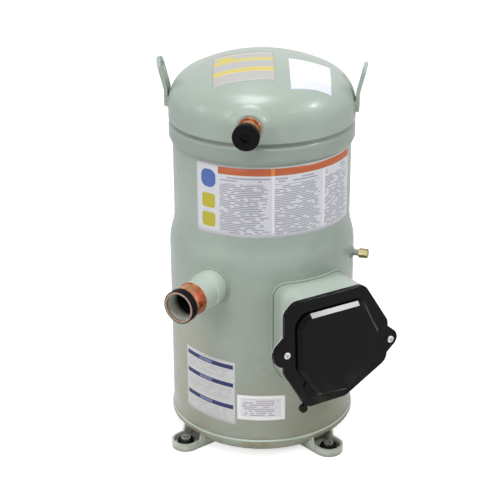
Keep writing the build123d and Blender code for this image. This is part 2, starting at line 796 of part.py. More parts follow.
with BuildPart() as cover_gasket:
    extrude(cover_plate(box_face.offset(flange_front), gasket_inset), amount=gasket_t)
    with BuildSketch(box_face.offset(flange_front)) as opening:
        rounded(box_outline, cover_corner, box_wall)
    extrude(amount=gasket_t, mode=Mode.SUBTRACT)
    with BuildSketch(box_face.offset(flange_front)) as holes:
        with Locations(ear_left, ear_right):
            Circle(screw_r + slide_gap)
    extrude(amount=gasket_t, mode=Mode.SUBTRACT)
finish(cover_gasket, "cover_gasket")

with BuildPart() as terminal_cover:
    extrude(cover_plate(box_face.offset(cover_back), 0), amount=cover_rim_t)
    with BuildSketch(box_face.offset(cover_back)) as latch:
        with Locations(latch_at):
            Circle(latch_r)
    extrude(amount=cover_rim_t)
    rim_edges = terminal_cover.faces().sort_by(Axis(box_face.origin, box_face.z_dir))[-1].edges()
    fillet(rim_edges, cover_wall / 2)
    with BuildSketch(box_face.offset(cover_front - cover_wall / 2)) as panel:
        rounded(panel_outline, cover_corner)
    extrude(amount=cover_panel_t + cover_wall / 2, taper=panel_taper)
    panel_edges = terminal_cover.faces().sort_by(Axis(box_face.origin, box_face.z_dir))[-1].edges()
    chamfer(panel_edges, panel_bevel)
    with BuildSketch(box_face.offset(cover_front - cover_wall / 2)) as rib:
        with Locations(Location(rib_at, rib_angle)):
            SlotOverall(rib_l, rib_w)
    extrude(amount=cover_wall)
    with BuildSketch(box_face.offset(cover_front + cover_wall / 2)) as rib_groove_plan:
        with Locations(Location(rib_at, rib_angle)):
            SlotOverall(rib_l - rib_w + rib_groove_w, rib_groove_w)
    extrude(amount=-rib_groove, mode=Mode.SUBTRACT)
    with BuildSketch(box_face.offset(cover_back)) as pocket:
        rounded(box_outline, cover_corner, 2 * box_wall)
    extrude(amount=cover_rim_t - cover_wall, mode=Mode.SUBTRACT)
    with BuildSketch(box_face.offset(cover_back)) as panel_pocket:
        rounded(panel_outline, cover_corner, 2 * cover_wall)
    extrude(amount=panel_front - cover_wall - cover_back, taper=pocket_taper, mode=Mode.SUBTRACT)
    with BuildSketch(box_face.offset(cover_back)) as holes:
        with Locations(ear_left, ear_right):
            Circle(screw_r + slide_gap)
    extrude(amount=cover_rim_t, mode=Mode.SUBTRACT)
finish(terminal_cover, "terminal_cover")

with BuildPart() as cover_screws:
    with BuildSketch(box_face.offset(cover_front + fit_gap)) as heads:
        with Locations(ear_left, ear_right):
            Circle(screw_head_r)
    extrude(amount=screw_head_h)
    top_faces = cover_screws.faces().sort_by(Axis(box_face.origin, box_face.z_dir))[-2:]
    fillet(ShapeList(e for f in top_faces for e in f.edges()), screw_head_h / 3)
    with BuildSketch(box_face.offset(cover_front + fit_gap - screw_l)) as shanks:
        with Locations(ear_left, ear_right):
            Circle(screw_r)
    extrude(amount=screw_l)
    with BuildSketch(box_face.offset(cover_front + screw_head_h)) as drives:
        with Locations(ear_left, ear_right):
            Rectangle(drive_l, drive_w)
            Rectangle(drive_w, drive_l)
    extrude(amount=-drive_depth, both=True, mode=Mode.SUBTRACT)
finish(cover_screws, "cover_screws")

# ---------------------------------------------------------------- electric feedthrough
pin_places = PolarLocations(pin_circle, 3, start_angle=90)
feed_outer = shell_r + feed_proud
feed_inner = feed_outer - feed_depth
block_back = feed_outer + slide_gap
block_front = block_back + block_t

with BuildPart() as terminal_plate:
    tube(feed_face, feed_r, 0, feed_inner, feed_outer)
    fillet(terminal_plate.edges().filter_by(GeomType.CIRCLE), feed_proud / 3)
    with BuildSketch(feed_face.offset(feed_inner)) as glass_holes:
        with pin_places:
            Circle(glass_r + fit_gap)
    extrude(amount=feed_depth, mode=Mode.SUBTRACT)
finish(terminal_plate, "terminal_plate")

with BuildPart() as terminal_glass:
    with BuildSketch(feed_face.offset(feed_inner)) as beads:
        with pin_places:
            Circle(glass_r)
            Circle(pin_r + fit_gap, mode=Mode.SUBTRACT)
    extrude(amount=feed_depth)
finish(terminal_glass, "terminal_glass")

with BuildPart() as terminal_pins:
    with BuildSketch(feed_face.offset(pin_inner)) as pins:
        with pin_places:
            Circle(pin_r)
    extrude(amount=pin_outer - pin_inner)
finish(terminal_pins, "terminal_pins")

with BuildPart() as terminal_block:
    with BuildSketch(feed_face.offset(block_back)) as block:
        RectangleRounded(block_w, block_h, nut_h)
    extrude(amount=block_t)
    with BuildSketch(feed_face.offset(block_front)) as walls:
        for wall_angle in (30, 150, 270):
            with Locations(Location((0, 0), wall_angle)):
                with Locations((block_h / 4, 0)):
                    Rectangle(block_h / 2, feed_proud / 2)
    extrude(amount=2 * nut_h)
    with BuildSketch(feed_face.offset(block_back)) as holes:
        with pin_places:
            Circle(pin_r + fit_gap)
    extrude(amount=2 * block_t, mode=Mode.SUBTRACT)
finish(terminal_block, "terminal_block")

with BuildPart() as terminal_nuts:
    with BuildSketch(feed_face.offset(block_front)) as nuts:
        with pin_places:
            RegularPolygon(nut_r, 6)
            Circle(pin_r + fit_gap, mode=Mode.SUBTRACT)
    extrude(amount=nut_h)
finish(terminal_nuts, "terminal_nuts")

ground_face = radial_plane(box_az, feed_z + ground_v)
with BuildPart() as ground_screw:
    tube(ground_face, 2 * ground_r, 0, shell_r - ground_r, shell_r + ground_r)
    with BuildSketch(Plane.XY) as shell_plan:
        Circle(shell_r + fit_gap)
    extrude(amount=neck_z, mode=Mode.SUBTRACT)
    tube(ground_face, ground_r, 0, shell_r + ground_r, shell_r + ground_l)
    with BuildSketch(ground_face.offset(shell_r + ground_l)) as head:
        RegularPolygon(2 * ground_r, 6)
    extrude(amount=ground_r)
finish(ground_screw, "ground_screw")

# The motor's leads run straight in from the pins and bend down onto the winding.
winding_top = stack_top_z + liner_gap + winding_h
lead_foot = pin_inner - lead_inset
with BuildPart() as motor_leads:
    for pin_angle in (90, 210, 330):
        across = pin_circle * cos(radians(pin_angle))
        height = pin_circle * sin(radians(pin_angle))
        drop = feed_z + height - winding_top
        lead_side = Plane(
            origin=feed_face.from_local_coords((across, 0, 0)),
            x_dir=feed_face.z_dir,
            z_dir=-feed_face.x_dir,
        )
        with BuildLine(lead_side) as route:
            bend_r = 0.9 * min(drop, lead_inset)
            FilletPolyline(
                (pin_inner, height),
                (lead_foot, height),
                (lead_foot, winding_top - feed_z),
                radius=bend_r,
            )
        print(f"motor lead bend radius {bend_r:.1f}")
        with BuildSketch(feed_face.offset(pin_inner)) as section:
            with Locations((across, height)):
                Circle(lead_r)
        sweep(section.sketch, path=route.line)
finish(motor_leads, "motor_leads")

# ---------------------------------------------------------------- motor
with BuildPart() as stator_core:
    ring(shell_in_r - fit_gap, stator_bore_r, stator_z, stack_top_z)
    with BuildSketch(Plane.XY.offset(stator_z)) as slots:
        with PolarLocations(slot_in + slot_l / 2, slot_count):
            SlotOverall(slot_l, slot_w)
    extrude(amount=stack_h, mode=Mode.SUBTRACT)
finish(stator_core, "stator_core")

with BuildPart() as stator_winding:
    for low in (stator_z - liner_gap - winding_h, stack_top_z + liner_gap):
        ring(winding_out, winding_in, low, low + winding_h)
    ring_edges = stator_winding.edges().filter_by(GeomType.CIRCLE)
    fillet(ring_edges, winding_h / 4)
    with BuildSketch(Plane.XY.offset(stator_z - winding_h / 2)) as bars:
        with PolarLocations(slot_in + slot_l / 2, slot_count):
            SlotOverall(slot_l - 2 * liner_gap, slot_w - 2 * liner_gap)
        Circle(winding_in + winding_skin, mode=Mode.SUBTRACT)
    extrude(amount=stack_h + winding_h)
finish(stator_winding, "stator_winding")

with BuildPart() as motor_protector:
    with BuildSketch(Plane.XY.offset(winding_top + fit_gap)) as puck:
        with Locations((0, (winding_in + winding_out) / 2)):
            SlotOverall(winding_h, winding_h / 2)
    extrude(amount=winding_h / 3)
finish(motor_protector, "motor_protector")

with BuildPart() as rotor_core:
    ring(stator_bore_r - air_gap, shaft_r + fit_gap, stator_z, stack_top_z)
    with BuildSketch(Plane.XY.offset(stator_z)) as bar_holes:
        with PolarLocations(bar_circle, bar_count):
            Circle(bar_r + fit_gap)
    extrude(amount=stack_h, mode=Mode.SUBTRACT)
finish(rotor_core, "rotor_core")

with BuildPart() as rotor_cage:
    ring(stator_bore_r - air_gap, cage_in, stator_z - cage_h, stator_z)
    ring(stator_bore_r - air_gap, cage_in, stack_top_z, stack_top_z + cage_h)
    with BuildSketch(Plane.XY.offset(stator_z)) as bars:
        with PolarLocations(bar_circle, bar_count):
            Circle(bar_r)
    extrude(amount=stack_h)
finish(rotor_cage, "rotor_cage")


def balance_weight(low, high, side):
    """Adds a collar on the shaft with a half-round weight on one side of it."""
    ring(shaft_r + fit_gap + weight_bore_wall, shaft_r + fit_gap, low, high)
    with BuildSketch(Plane.XY.offset(low)) as half:
        Circle(weight_r)
        Circle(shaft_r + fit_gap, mode=Mode.SUBTRACT)
        with Locations((side * weight_r, 0)):
            Rectangle(2 * weight_r, 2 * weight_r, mode=Mode.INTERSECT)
    extrude(half.sketch, amount=high - low)


with BuildPart() as upper_counterweight:
    upper_weight_z = stack_top_z + cage_h
    balance_weight(upper_weight_z, upper_weight_z + upper_weight_h, -1)
finish(upper_counterweight, "upper_counterweight")

with BuildPart() as lower_counterweight:
    lower_weight_z = stator_z - cage_h
    balance_weight(lower_weight_z - lower_weight_h, lower_weight_z, 1)
finish(lower_counterweight, "lower_counterweight")

# ---------------------------------------------------------------- shaft and lower bearing
hub_low_z = bracket_z - bracket_hub_low
hub_high_z = bracket_z + bracket_hub_high
washer_top_z = hub_high_z + washer_t
pin_top_z = orbit_plate_z - pump_gap

with BuildPart() as crankshaft:
    ring(tail_r, 0, tail_z, washer_top_z + film_gap)
    ring(shaft_r, 0, washer_top_z + film_gap, collar_z)
    ring(crank_collar_r, 0, collar_z, collar_top_z)
    ring(crank_pin_r, 0, collar_top_z, pin_top_z, centre=(orbit_r, 0))
    ring(oil_bore_r, 0, tail_z, pin_top_z, Mode.SUBTRACT, centre=(oil_bore_x, 0))
finish(crankshaft, "crankshaft")

with BuildPart() as oil_pickup:
    pickup_z = tail_z - pickup_h
    pickup_r = tail_r + fit_gap + pickup_wall
    spun([(0, tail_z), (tail_r, tail_z), (pickup_tip_r, pickup_z), (0, pickup_z)])
    ring(pickup_r, tail_r + fit_gap, tail_z, tail_z + pickup_h)
    ring(pickup_r, 0, tail_z - pickup_wall, tail_z)
    ring(pickup_tip_r / 2, 0, pickup_z, tail_z, Mode.SUBTRACT)
    ring(oil_bore_r, 0, (pickup_z + tail_z) / 2, tail_z, Mode.SUBTRACT, centre=(oil_bore_x, 0))
finish(oil_pickup, "oil_pickup")

with BuildPart() as lower_bearing:
    ring(tail_r + running_gap + bush_wall, tail_r + running_gap, hub_low_z, hub_high_z)
finish(lower_bearing, "lower_bearing")

with BuildPart() as thrust_washer:
    ring(bracket_hub_r, tail_r + slide_gap, hub_high_z, washer_top_z)
finish(thrust_washer, "thrust_washer")

with BuildPart() as lower_bearing_bracket:
    ring(bracket_hub_r, 0, hub_low_z, hub_high_z)
    bracket_r = shell_in_r - fit_gap
    ring(bracket_r, bracket_r - bracket_rim_w, bracket_z, bracket_z + bracket_t + bracket_rim_h)
    with BuildSketch(Plane.XY.offset(bracket_z)) as arms:
        Rectangle(2 * bracket_r, bracket_arm_w)
        Rectangle(bracket_arm_w, 2 * bracket_r)
        Circle(bracket_r - bracket_rim_w / 2, mode=Mode.INTERSECT)
    extrude(amount=bracket_t)
    ring(tail_r + running_gap + bush_wall + fit_gap, 0, hub_low_z, hub_high_z, Mode.SUBTRACT)
finish(lower_bearing_bracket, "lower_bearing_bracket")

with BuildPart() as sump_magnet:
    sump_floor = rim_z - dish_inner
    ring(magnet_r, 0, sump_floor, sump_floor + magnet_h, centre=(magnet_x, 0))
finish(sump_magnet, "sump_magnet")

# ---------------------------------------------------------------- scroll pump
main_bush_r = shaft_r + running_gap + bush_wall
housing_r = neck_in_r - fit_gap
housing_low = main_bearing_z - main_bearing_h
recess_floor = main_bearing_z
seat_low = orbit_top_z - housing_drop
bolt_circle = (pump_in_r + neck_in_r - fixed_edge_gap) / 2
bolt_places = PolarLocations(bolt_circle, 4, start_angle=45)

with BuildPart() as main_bearing_housing:
    spun([
        (pump_in_r, orbit_top_z),
        (housing_r, orbit_top_z),
        (housing_r, seat_low),
        (housing_r - bush_wall * 3, seat_low),
        (housing_boss_r + bush_wall, recess_floor - main_bearing_h / 4),
        (housing_boss_r, recess_floor - main_bearing_h / 3),
        (housing_boss_r, housing_low),
        (main_bush_r + fit_gap, housing_low),
        (main_bush_r + fit_gap, recess_floor),
        (recess_r, recess_floor),
        (recess_r, pad_z),
        (pad_r, pad_z),
        (pad_r, floor_z),
        (pump_in_r, floor_z),
    ])
    with BuildSketch(Plane.XY.offset(floor_z)) as keyways:
        with Locations((0, key_r), (0, -key_r)):
            Rectangle(key_w + 2 * slide_gap, key_l + 2 * orbit_r + 2 * slide_gap)
    extrude(amount=-(key_h + slide_gap), mode=Mode.SUBTRACT)
    with BuildSketch(Plane.XY.offset(orbit_top_z)) as threads:
        with bolt_places:
            Circle(bolt_r + fit_gap)
    extrude(amount=-(bolt_bite + bolt_r), mode=Mode.SUBTRACT)
    with BuildSketch(Plane.XY.offset(orbit_top_z)) as gas_ways:
        for side in (-1, 1):
            with Locations((side * (pump_in_r + shell_r) / 2, 0)):
                Rectangle(shell_r - pump_in_r, inlet_w)
    extrude(amount=-housing_drop, mode=Mode.SUBTRACT)
finish(main_bearing_housing, "main_bearing_housing")

with BuildPart() as main_bearing:
    ring(main_bush_r, shaft_r + running_gap, housing_low, main_bearing_z)
finish(main_bearing, "main_bearing")

with BuildPart() as thrust_plate:
    ring(pad_r - slide_gap, thrust_in, pad_z, pad_z + thrust_t)
finish(thrust_plate, "thrust_plate")

with BuildPart() as drive_bush:
    bush_low = collar_top_z + film_gap
    ring(bush_r, crank_pin_r + running_gap, bush_low, pin_top_z, centre=(orbit_r, 0))
finish(drive_bush, "drive_bush")


def wrap_outline():
    """Adds a scroll wrap: half circles about two centres, growing by a fixed step."""
    with BuildSketch(mode=Mode.PRIVATE) as spiral:
        for half in range(wrap_halves):
            side = 1 if half % 2 == 0 else -1
            radius = pitch_half * (half + 1)
            with BuildSketch(mode=Mode.PRIVATE) as arc_band:
                Circle(radius + wrap_t / 2)
                Circle(radius - wrap_t / 2, mode=Mode.SUBTRACT)
                Rectangle(3 * radius, 3 * radius, align=(Align.CENTER, Align.MIN), mode=Mode.INTERSECT)
            turn = 0 if side > 0 else 180
            add(arc_band.sketch.moved(Location((-side * pitch_half / 2, 0, 0), (0, 0, turn))))
        with Locations((pitch_half / 2, 0)):
            Circle(wrap_t / 2)
    return spiral.sketch


wrap = wrap_outline()
orbit_centre = Location((orbit_r, 0, 0), (0, 0, 180))
orbit_hub_in_r = bush_r + running_gap + bush_wall + fit_gap

with BuildPart() as orbiting_scroll:
    ring(orbit_plate_r, 0, orbit_plate_z, orbit_top_z, centre=(orbit_r, 0))
    ring(orbit_hub_in_r + hub_wall, orbit_hub_in_r, hub_z, orbit_plate_z, centre=(orbit_r, 0))
    lift = Location((0, 0, orbit_top_z))
    extrude(wrap.moved(lift * orbit_centre), amount=wrap_h - tip_gap)
    # The keyways leave room for the ring at either end of its own slide.
    with BuildSketch(Plane.XY.offset(orbit_plate_z)) as keyways:
        with Locations((orbit_r + key_r, 0), (orbit_r - key_r, 0)):
            Rectangle(key_l + 2 * orbit_r + 2 * slide_gap, key_w + 4 * orbit_r + 2 * slide_gap)
    extrude(amount=key_h + slide_gap, mode=Mode.SUBTRACT)
finish(orbiting_scroll, "orbiting_scroll")

with BuildPart() as orbiting_bearing:
    bush_in = bush_r + running_gap
    ring(bush_in + bush_wall, bush_in, hub_z, orbit_plate_z - fit_gap, centre=(orbit_r, 0))
finish(orbiting_bearing, "orbiting_bearing")

with BuildPart() as oldham_ring:
    ring_low = floor_z + film_gap
    ring_high = ring_low + ring_t
    ring(ring_out, ring_in, ring_low, ring_high)
    with BuildSketch(Plane.XY.offset(ring_low)) as lower_keys:
        with Locations((0, key_r), (0, -key_r)):
            Rectangle(key_w, key_l)
    extrude(amount=-key_h)
    with BuildSketch(Plane.XY.offset(ring_high)) as upper_keys:
        with Locations((key_r, 0), (-key_r, 0)):
            Rectangle(key_l, key_w)
    extrude(amount=orbit_plate_z + key_h - slide_gap - ring_high)
finish(oldham_ring, "oldham_ring")

seal_floor = fixed_back_z - seal_depth
fixed_r = neck_in_r - fixed_edge_gap
with BuildPart() as fixed_scroll:
    ring(fixed_r, 0, fixed_face_z, fixed_back_z)
    ring(fixed_r, pump_in_r, orbit_top_z, fixed_face_z)
    extrude(wrap.moved(Location((0, 0, orbit_top_z + tip_gap))), amount=wrap_h - tip_gap)
    ring(seal_out + seal_wall, discharge_hub_r, fixed_back_z, fixed_back_z + back_ring_h)
    ring(seal_out, seal_in, seal_floor, fixed_back_z + back_ring_h, Mode.SUBTRACT)
    ring(port_r, 0, fixed_face_z, fixed_back_z, Mode.SUBTRACT, centre=(0, port_y))
    with BuildSketch(Plane.XY.offset(orbit_top_z)) as bolt_holes:
        with bolt_places:
            Circle(bolt_r + slide_gap)
    extrude(amount=fixed_back_z - orbit_top_z, mode=Mode.SUBTRACT)
    inlet_z = (orbit_top_z + fixed_face_z) / 2
    with BuildSketch(Plane.XZ.offset(-inlet_w / 2)) as inlets:
        for side in (-1, 1):
            with Locations((side * (pump_in_r + shell_r) / 2, inlet_z)):
                Rectangle(shell_r - pump_in_r + 2 * pump_gap, inlet_h)
    extrude(amount=inlet_w, mode=Mode.SUBTRACT)
finish(fixed_scroll, "fixed_scroll")

with BuildPart() as scroll_bolts:
    with BuildSketch(Plane.XY.offset(fixed_back_z)) as heads:
        with bolt_places:
            RegularPolygon(bolt_head_r, 6)
    extrude(amount=bolt_head_h)
    with BuildSketch(Plane.XY.offset(orbit_top_z - bolt_bite)) as shanks:
        with bolt_places:
            Circle(bolt_r)
    extrude(amount=fixed_back_z - orbit_top_z + bolt_bite)
finish(scroll_bolts, "scroll_bolts")

with BuildPart() as discharge_valve_disc:
    disc_low = fixed_back_z + fit_gap
    disc_high = disc_low + valve_disc_t
    ring(valve_disc_r, 0, disc_low, disc_high)
finish(discharge_valve_disc, "discharge_valve_disc")

with BuildPart() as discharge_valve_guard:
    guard_low = disc_high + valve_lift + fit_gap
    ring(discharge_hub_r - fit_gap, 0, guard_low, guard_low + guard_t)
    ring(discharge_hub_r - fit_gap, discharge_hub_r - guard_t, fixed_back_z, guard_low)
    with BuildSketch(Plane.XY.offset(guard_low)) as gas_holes:
        with PolarLocations(valve_disc_r, 6):
            Circle(guard_t)
    extrude(amount=guard_t, mode=Mode.SUBTRACT)
finish(discharge_valve_guard, "discharge_valve_guard")

with BuildPart() as floating_seal:
    seal_low = seal_floor + slide_gap
    seal_high = seal_low + seal_h
    ring(seal_out - slide_gap, seal_in + slide_gap, seal_low, seal_high)
    ring(seal_in + 3 * guard_t, seal_in + 2 * guard_t, seal_high, seal_high + guard_t / 2)
finish(floating_seal, "floating_seal")

seat_z = seal_high + guard_t / 2 + separator_seat_gap
hub_in_r = discharge_hub_r
hub_out_r = seal_out + separator_t
with BuildPart() as separator_plate:
    edge_r = cap_r - cap_wall - fit_gap
    low_bend = edge_r - 3 * separator_t
    spun([
        (edge_r, neck_top_z),
        (low_bend, neck_top_z),
        (hub_out_r + 3 * separator_t, neck_top_z + separator_rise),
        (hub_out_r, neck_top_z + separator_rise),
        (hub_out_r, seat_z),
        (hub_in_r, seat_z),
        (hub_in_r, neck_top_z + separator_rise + separator_t),
        (hub_out_r + 3 * separator_t, neck_top_z + separator_rise + separator_t),
        (low_bend, neck_top_z + separator_t),
        (edge_r, neck_top_z + separator_t),
    ])
finish(separator_plate, "separator_plate")
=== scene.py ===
"""Finishes, labels and weld seams of an upright scroll compressor, around its fixed frame.

Metres, in the frame's own axes: +Z up along the shaft, the floor at z = 0. A place on the
round shell is given by an azimuth, in degrees from -Y towards +X, and a height.
"""

import json
from math import cos, hypot, pi, radians, sin, tan

import bmesh
import bpy
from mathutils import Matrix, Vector
from mathutils.bvhtree import BVHTree


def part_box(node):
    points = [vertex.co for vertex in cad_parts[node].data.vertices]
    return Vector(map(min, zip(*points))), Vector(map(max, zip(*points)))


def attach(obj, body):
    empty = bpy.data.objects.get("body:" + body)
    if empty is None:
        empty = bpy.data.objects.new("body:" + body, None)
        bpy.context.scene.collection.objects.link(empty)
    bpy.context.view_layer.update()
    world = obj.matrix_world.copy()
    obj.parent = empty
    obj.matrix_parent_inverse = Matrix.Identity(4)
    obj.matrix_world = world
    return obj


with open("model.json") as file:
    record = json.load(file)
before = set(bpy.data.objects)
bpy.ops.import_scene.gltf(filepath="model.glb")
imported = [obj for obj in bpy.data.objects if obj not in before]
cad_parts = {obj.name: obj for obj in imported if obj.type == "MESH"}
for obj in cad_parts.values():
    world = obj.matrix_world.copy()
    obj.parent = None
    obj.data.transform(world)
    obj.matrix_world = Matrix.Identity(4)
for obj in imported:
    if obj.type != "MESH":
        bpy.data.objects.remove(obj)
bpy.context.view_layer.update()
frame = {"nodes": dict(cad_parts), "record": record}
nodes = frame["nodes"]

MM = 0.001

# ---------------------------------------------------------------- sizes read from the frame
shell_low, shell_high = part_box("main_shell")
shell_r = shell_high.x
cap_low, cap_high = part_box("top_cap")
rim_z = shell_low.z
top_z = cap_high.z

# ---------------------------------------------------------------- places shared by pieces
discharge_az = -3.0
discharge_z = 0.455
discharge_r = 12.5 * MM
discharge_root = 0.1232
discharge_end = 0.15395
suction_az = -27.0
suction_z = 0.242
suction_bore_r = 17.53 * MM
suction_wall = 2.6 * MM
suction_end = 0.198
suction_collar_r = 22.5 * MM
suction_sleeve_end = 0.167
valve_az = 77.0
valve_z = 0.259
valve_collar_r = 7.0 * MM
box_az = 36.0
box_z = 0.177
lug_azimuths = {"right": 88.0, "left": -92.0}
lug_root_low = 0.446
lug_root_high = 0.4515
lug_half_turn = 6.7


def outward(azimuth):
    """The level unit vector away from the axis at an azimuth."""
    a = radians(azimuth)
    return Vector((sin(a), -cos(a), 0.0))


def rightward(azimuth):
    """The level unit vector to the right as seen from outside."""
    a = radians(azimuth)
    return Vector((cos(a), sin(a), 0.0))


# ---------------------------------------------------------------- node helpers
def srgb(red, green, blue):
    """A linear colour from everyday 0 to 255 values."""
    def linear(value):
        share = value / 255.0
        return share / 12.92 if share <= 0.04045 else ((share + 0.055) / 1.055) ** 2.4

    return (linear(red), linear(green), linear(blue), 1.0)


def add_node(tree, kind, inputs, settings):
    """A new node in a tree. An input is either a socket to link from or a value to set."""
    made = tree.nodes.new(kind)
    for key, value in settings.items():
        setattr(made, key, value)
    for socket, value in inputs.items():
        if isinstance(value, bpy.types.NodeSocket):
            tree.links.new(value, made.inputs[socket])
        else:
            made.inputs[socket].default_value = value
    return made


class Finish:
    """One material's node tree, with short calls for the nodes that the finishes share."""

    def __init__(self, name, **shader):
        self.material = bpy.data.materials.new(name)
        self.material.use_nodes = True
        self.tree = self.material.node_tree
        self.shader = self.tree.nodes["Principled BSDF"]
        self.where = self.add("ShaderNodeTexCoord").outputs["Object"]
        for socket, value in shader.items():
            self.shader.inputs[socket.replace("_", " ")].default_value = value

    def add(self, kind, inputs=(), **settings):
        return add_node(self.tree, kind, dict(inputs), settings)

    def math(self, operation, first, second=0.0):
        return self.add("ShaderNodeMath", {0: first, 1: second}, operation=operation).outputs[0]

    def vector(self, operation, first, second=(0.0, 0.0, 0.0)):
        made = self.add("ShaderNodeVectorMath", {0: first, 1: second}, operation=operation)
        return made.outputs["Value" if operation in ("LENGTH", "DOT_PRODUCT") else "Vector"]

    def scaled(self, scale):
        """The place in the frame, scaled along each axis."""
        made = self.add("ShaderNodeMapping", {"Vector": self.where})
        made.inputs["Scale"].default_value = scale
        return made.outputs[0]

    def noise(self, scale, detail=3.0, rough=0.5, where=None, warp=0.0):
        made = self.add("ShaderNodeTexNoise", {"Vector": where or self.where})
        made.inputs["Scale"].default_value = scale
        made.inputs["Detail"].default_value = detail
        made.inputs["Roughness"].default_value = rough
        made.inputs["Distortion"].default_value = warp
        return made.outputs[0]

    def cells(self, scale):
        """Distance from the nearest of scattered points."""
        made = self.add("ShaderNodeTexVoronoi", {"Vector": self.where}, feature="F1")
        made.inputs["Scale"].default_value = scale
        return made.outputs["Distance"]

    def span(self, value, low, high, to_low=0.0, to_high=1.0):
        """A value's place between two ends, laid on another range and held inside it."""
        made = self.add("ShaderNodeMapRange", {"Value": value})
        made.inputs["From Min"].default_value = low
        made.inputs["From Max"].default_value = high
        made.inputs["To Min"].default_value = to_low
        made.inputs["To Max"].default_value = to_high
        return made.outputs[0]

    def height(self):
        """A point's height above the floor at rest."""
        return self.add("ShaderNodeSeparateXYZ", {0: self.where}).outputs["Z"]

    def from_axis(self):
        """How far a point lies from the shaft's axis."""
        parts = self.add("ShaderNodeSeparateXYZ", {0: self.where})
        across = self.math("POWER", parts.outputs["X"], 2.0)
        along = self.math("POWER", parts.outputs["Y"], 2.0)
        return self.math("SQRT", self.math("ADD", across, along))

    def toward(self, azimuth):
        """How far a point lies from the shaft's axis in the direction of an azimuth."""
        return self.vector("DOT_PRODUCT", self.where, outward(azimuth))

    def axis_distance(self, point, direction):
        """Distance from a line, for marks that follow a tube."""
        away = self.vector("SUBTRACT", self.where, point)
        return self.vector("LENGTH", self.vector("CROSS_PRODUCT", away, direction))

    def ramp(self, value, *stops):
        made = self.add("ShaderNodeValToRGB", {0: value})
        while len(made.color_ramp.elements) < len(stops):
            made.color_ramp.elements.new(1.0)
        for element, (position, colour) in zip(made.color_ramp.elements, stops):
            element.position = position
            element.color = colour
        return made.outputs[0]

    def mix(self, share, first, second):
        """A colour between two colours."""
        made = self.add("ShaderNodeMix", data_type="RGBA")
        sockets = (made.inputs[0], made.inputs[6], made.inputs[7])
        for socket, value in zip(sockets, (share, first, second)):
            if isinstance(value, bpy.types.NodeSocket):
                self.tree.links.new(value, socket)
            else:
                socket.default_value = value
        return made.outputs[2]

    def bump(self, height, distance, under=None):
        """A relief of a depth in metres, on top of another one if it is given."""
        made = self.add("ShaderNodeBump", {"Height": height})
        made.inputs["Distance"].default_value = distance
        made.inputs["Strength"].default_value = 1.0
        if under:
            self.tree.links.new(under, made.inputs["Normal"])
        return made.outputs[0]

    def done(self, colour, roughness, normal, metallic=None):
        """The material, with its patterns linked to the shader."""
        found = {"Base Color": colour, "Roughness": roughness, "Normal": normal}
        if metallic is not None:
            found["Metallic"] = metallic
        for socket, value in found.items():
            self.tree.links.new(value, self.shader.inputs[socket])
        return self.material


# ---------------------------------------------------------------- finishes
def lit_foot_paint():
    """The same enamel on the feet, painted paler than the shell's as painted light from above, paler in
    rubbed patches and dirty at the floor.
    """
    f = Finish("lit_foot_paint", Specular_IOR_Level=0.4, Coat_Weight=0.12, Coat_Roughness=0.2)
    rubbed = f.span(f.noise(60, 4, 0.6), 0.42, 0.68)
    # Painted light: both tones are paler than the shell's enamel.
    colour = f.mix(rubbed, srgb(196, 203, 194), srgb(172, 176, 162))
    below = f.span(f.height(), 6.0 * MM, 1.0 * MM)
    colour = f.mix(f.math("MULTIPLY", below, 0.5), colour, srgb(122, 120, 104))
    roughness = f.span(f.noise(40, 4, 0.6), 0.3, 0.7, 0.32, 0.46)
    return f.done(colour, roughness, f.bump(f.noise(320, 3), 0.0001))


side_stains_and_shade = (
    # azimuth, height where it starts, height where it is full, share, colour
    # Painted shade: the right side darker, where less light falls on it.
    (68.0, 0.42, 0.36, 0.5, (128, 139, 131)),
    (-66.0, 0.24, 0.16, 0.7, (166, 162, 146)),
    (62.0, 0.15, 0.06, 0.85, (136, 134, 112)),
)
# Reaches and heights where the side stains and the painted shade start and where they are full.
stain_and_shade_reach = (0.088, 0.118)
olive_heights = (0.27, 0.03)
rim_rust_heights = (0.034, 0.022)
groove_z = cap_low.z + 22.5 * MM


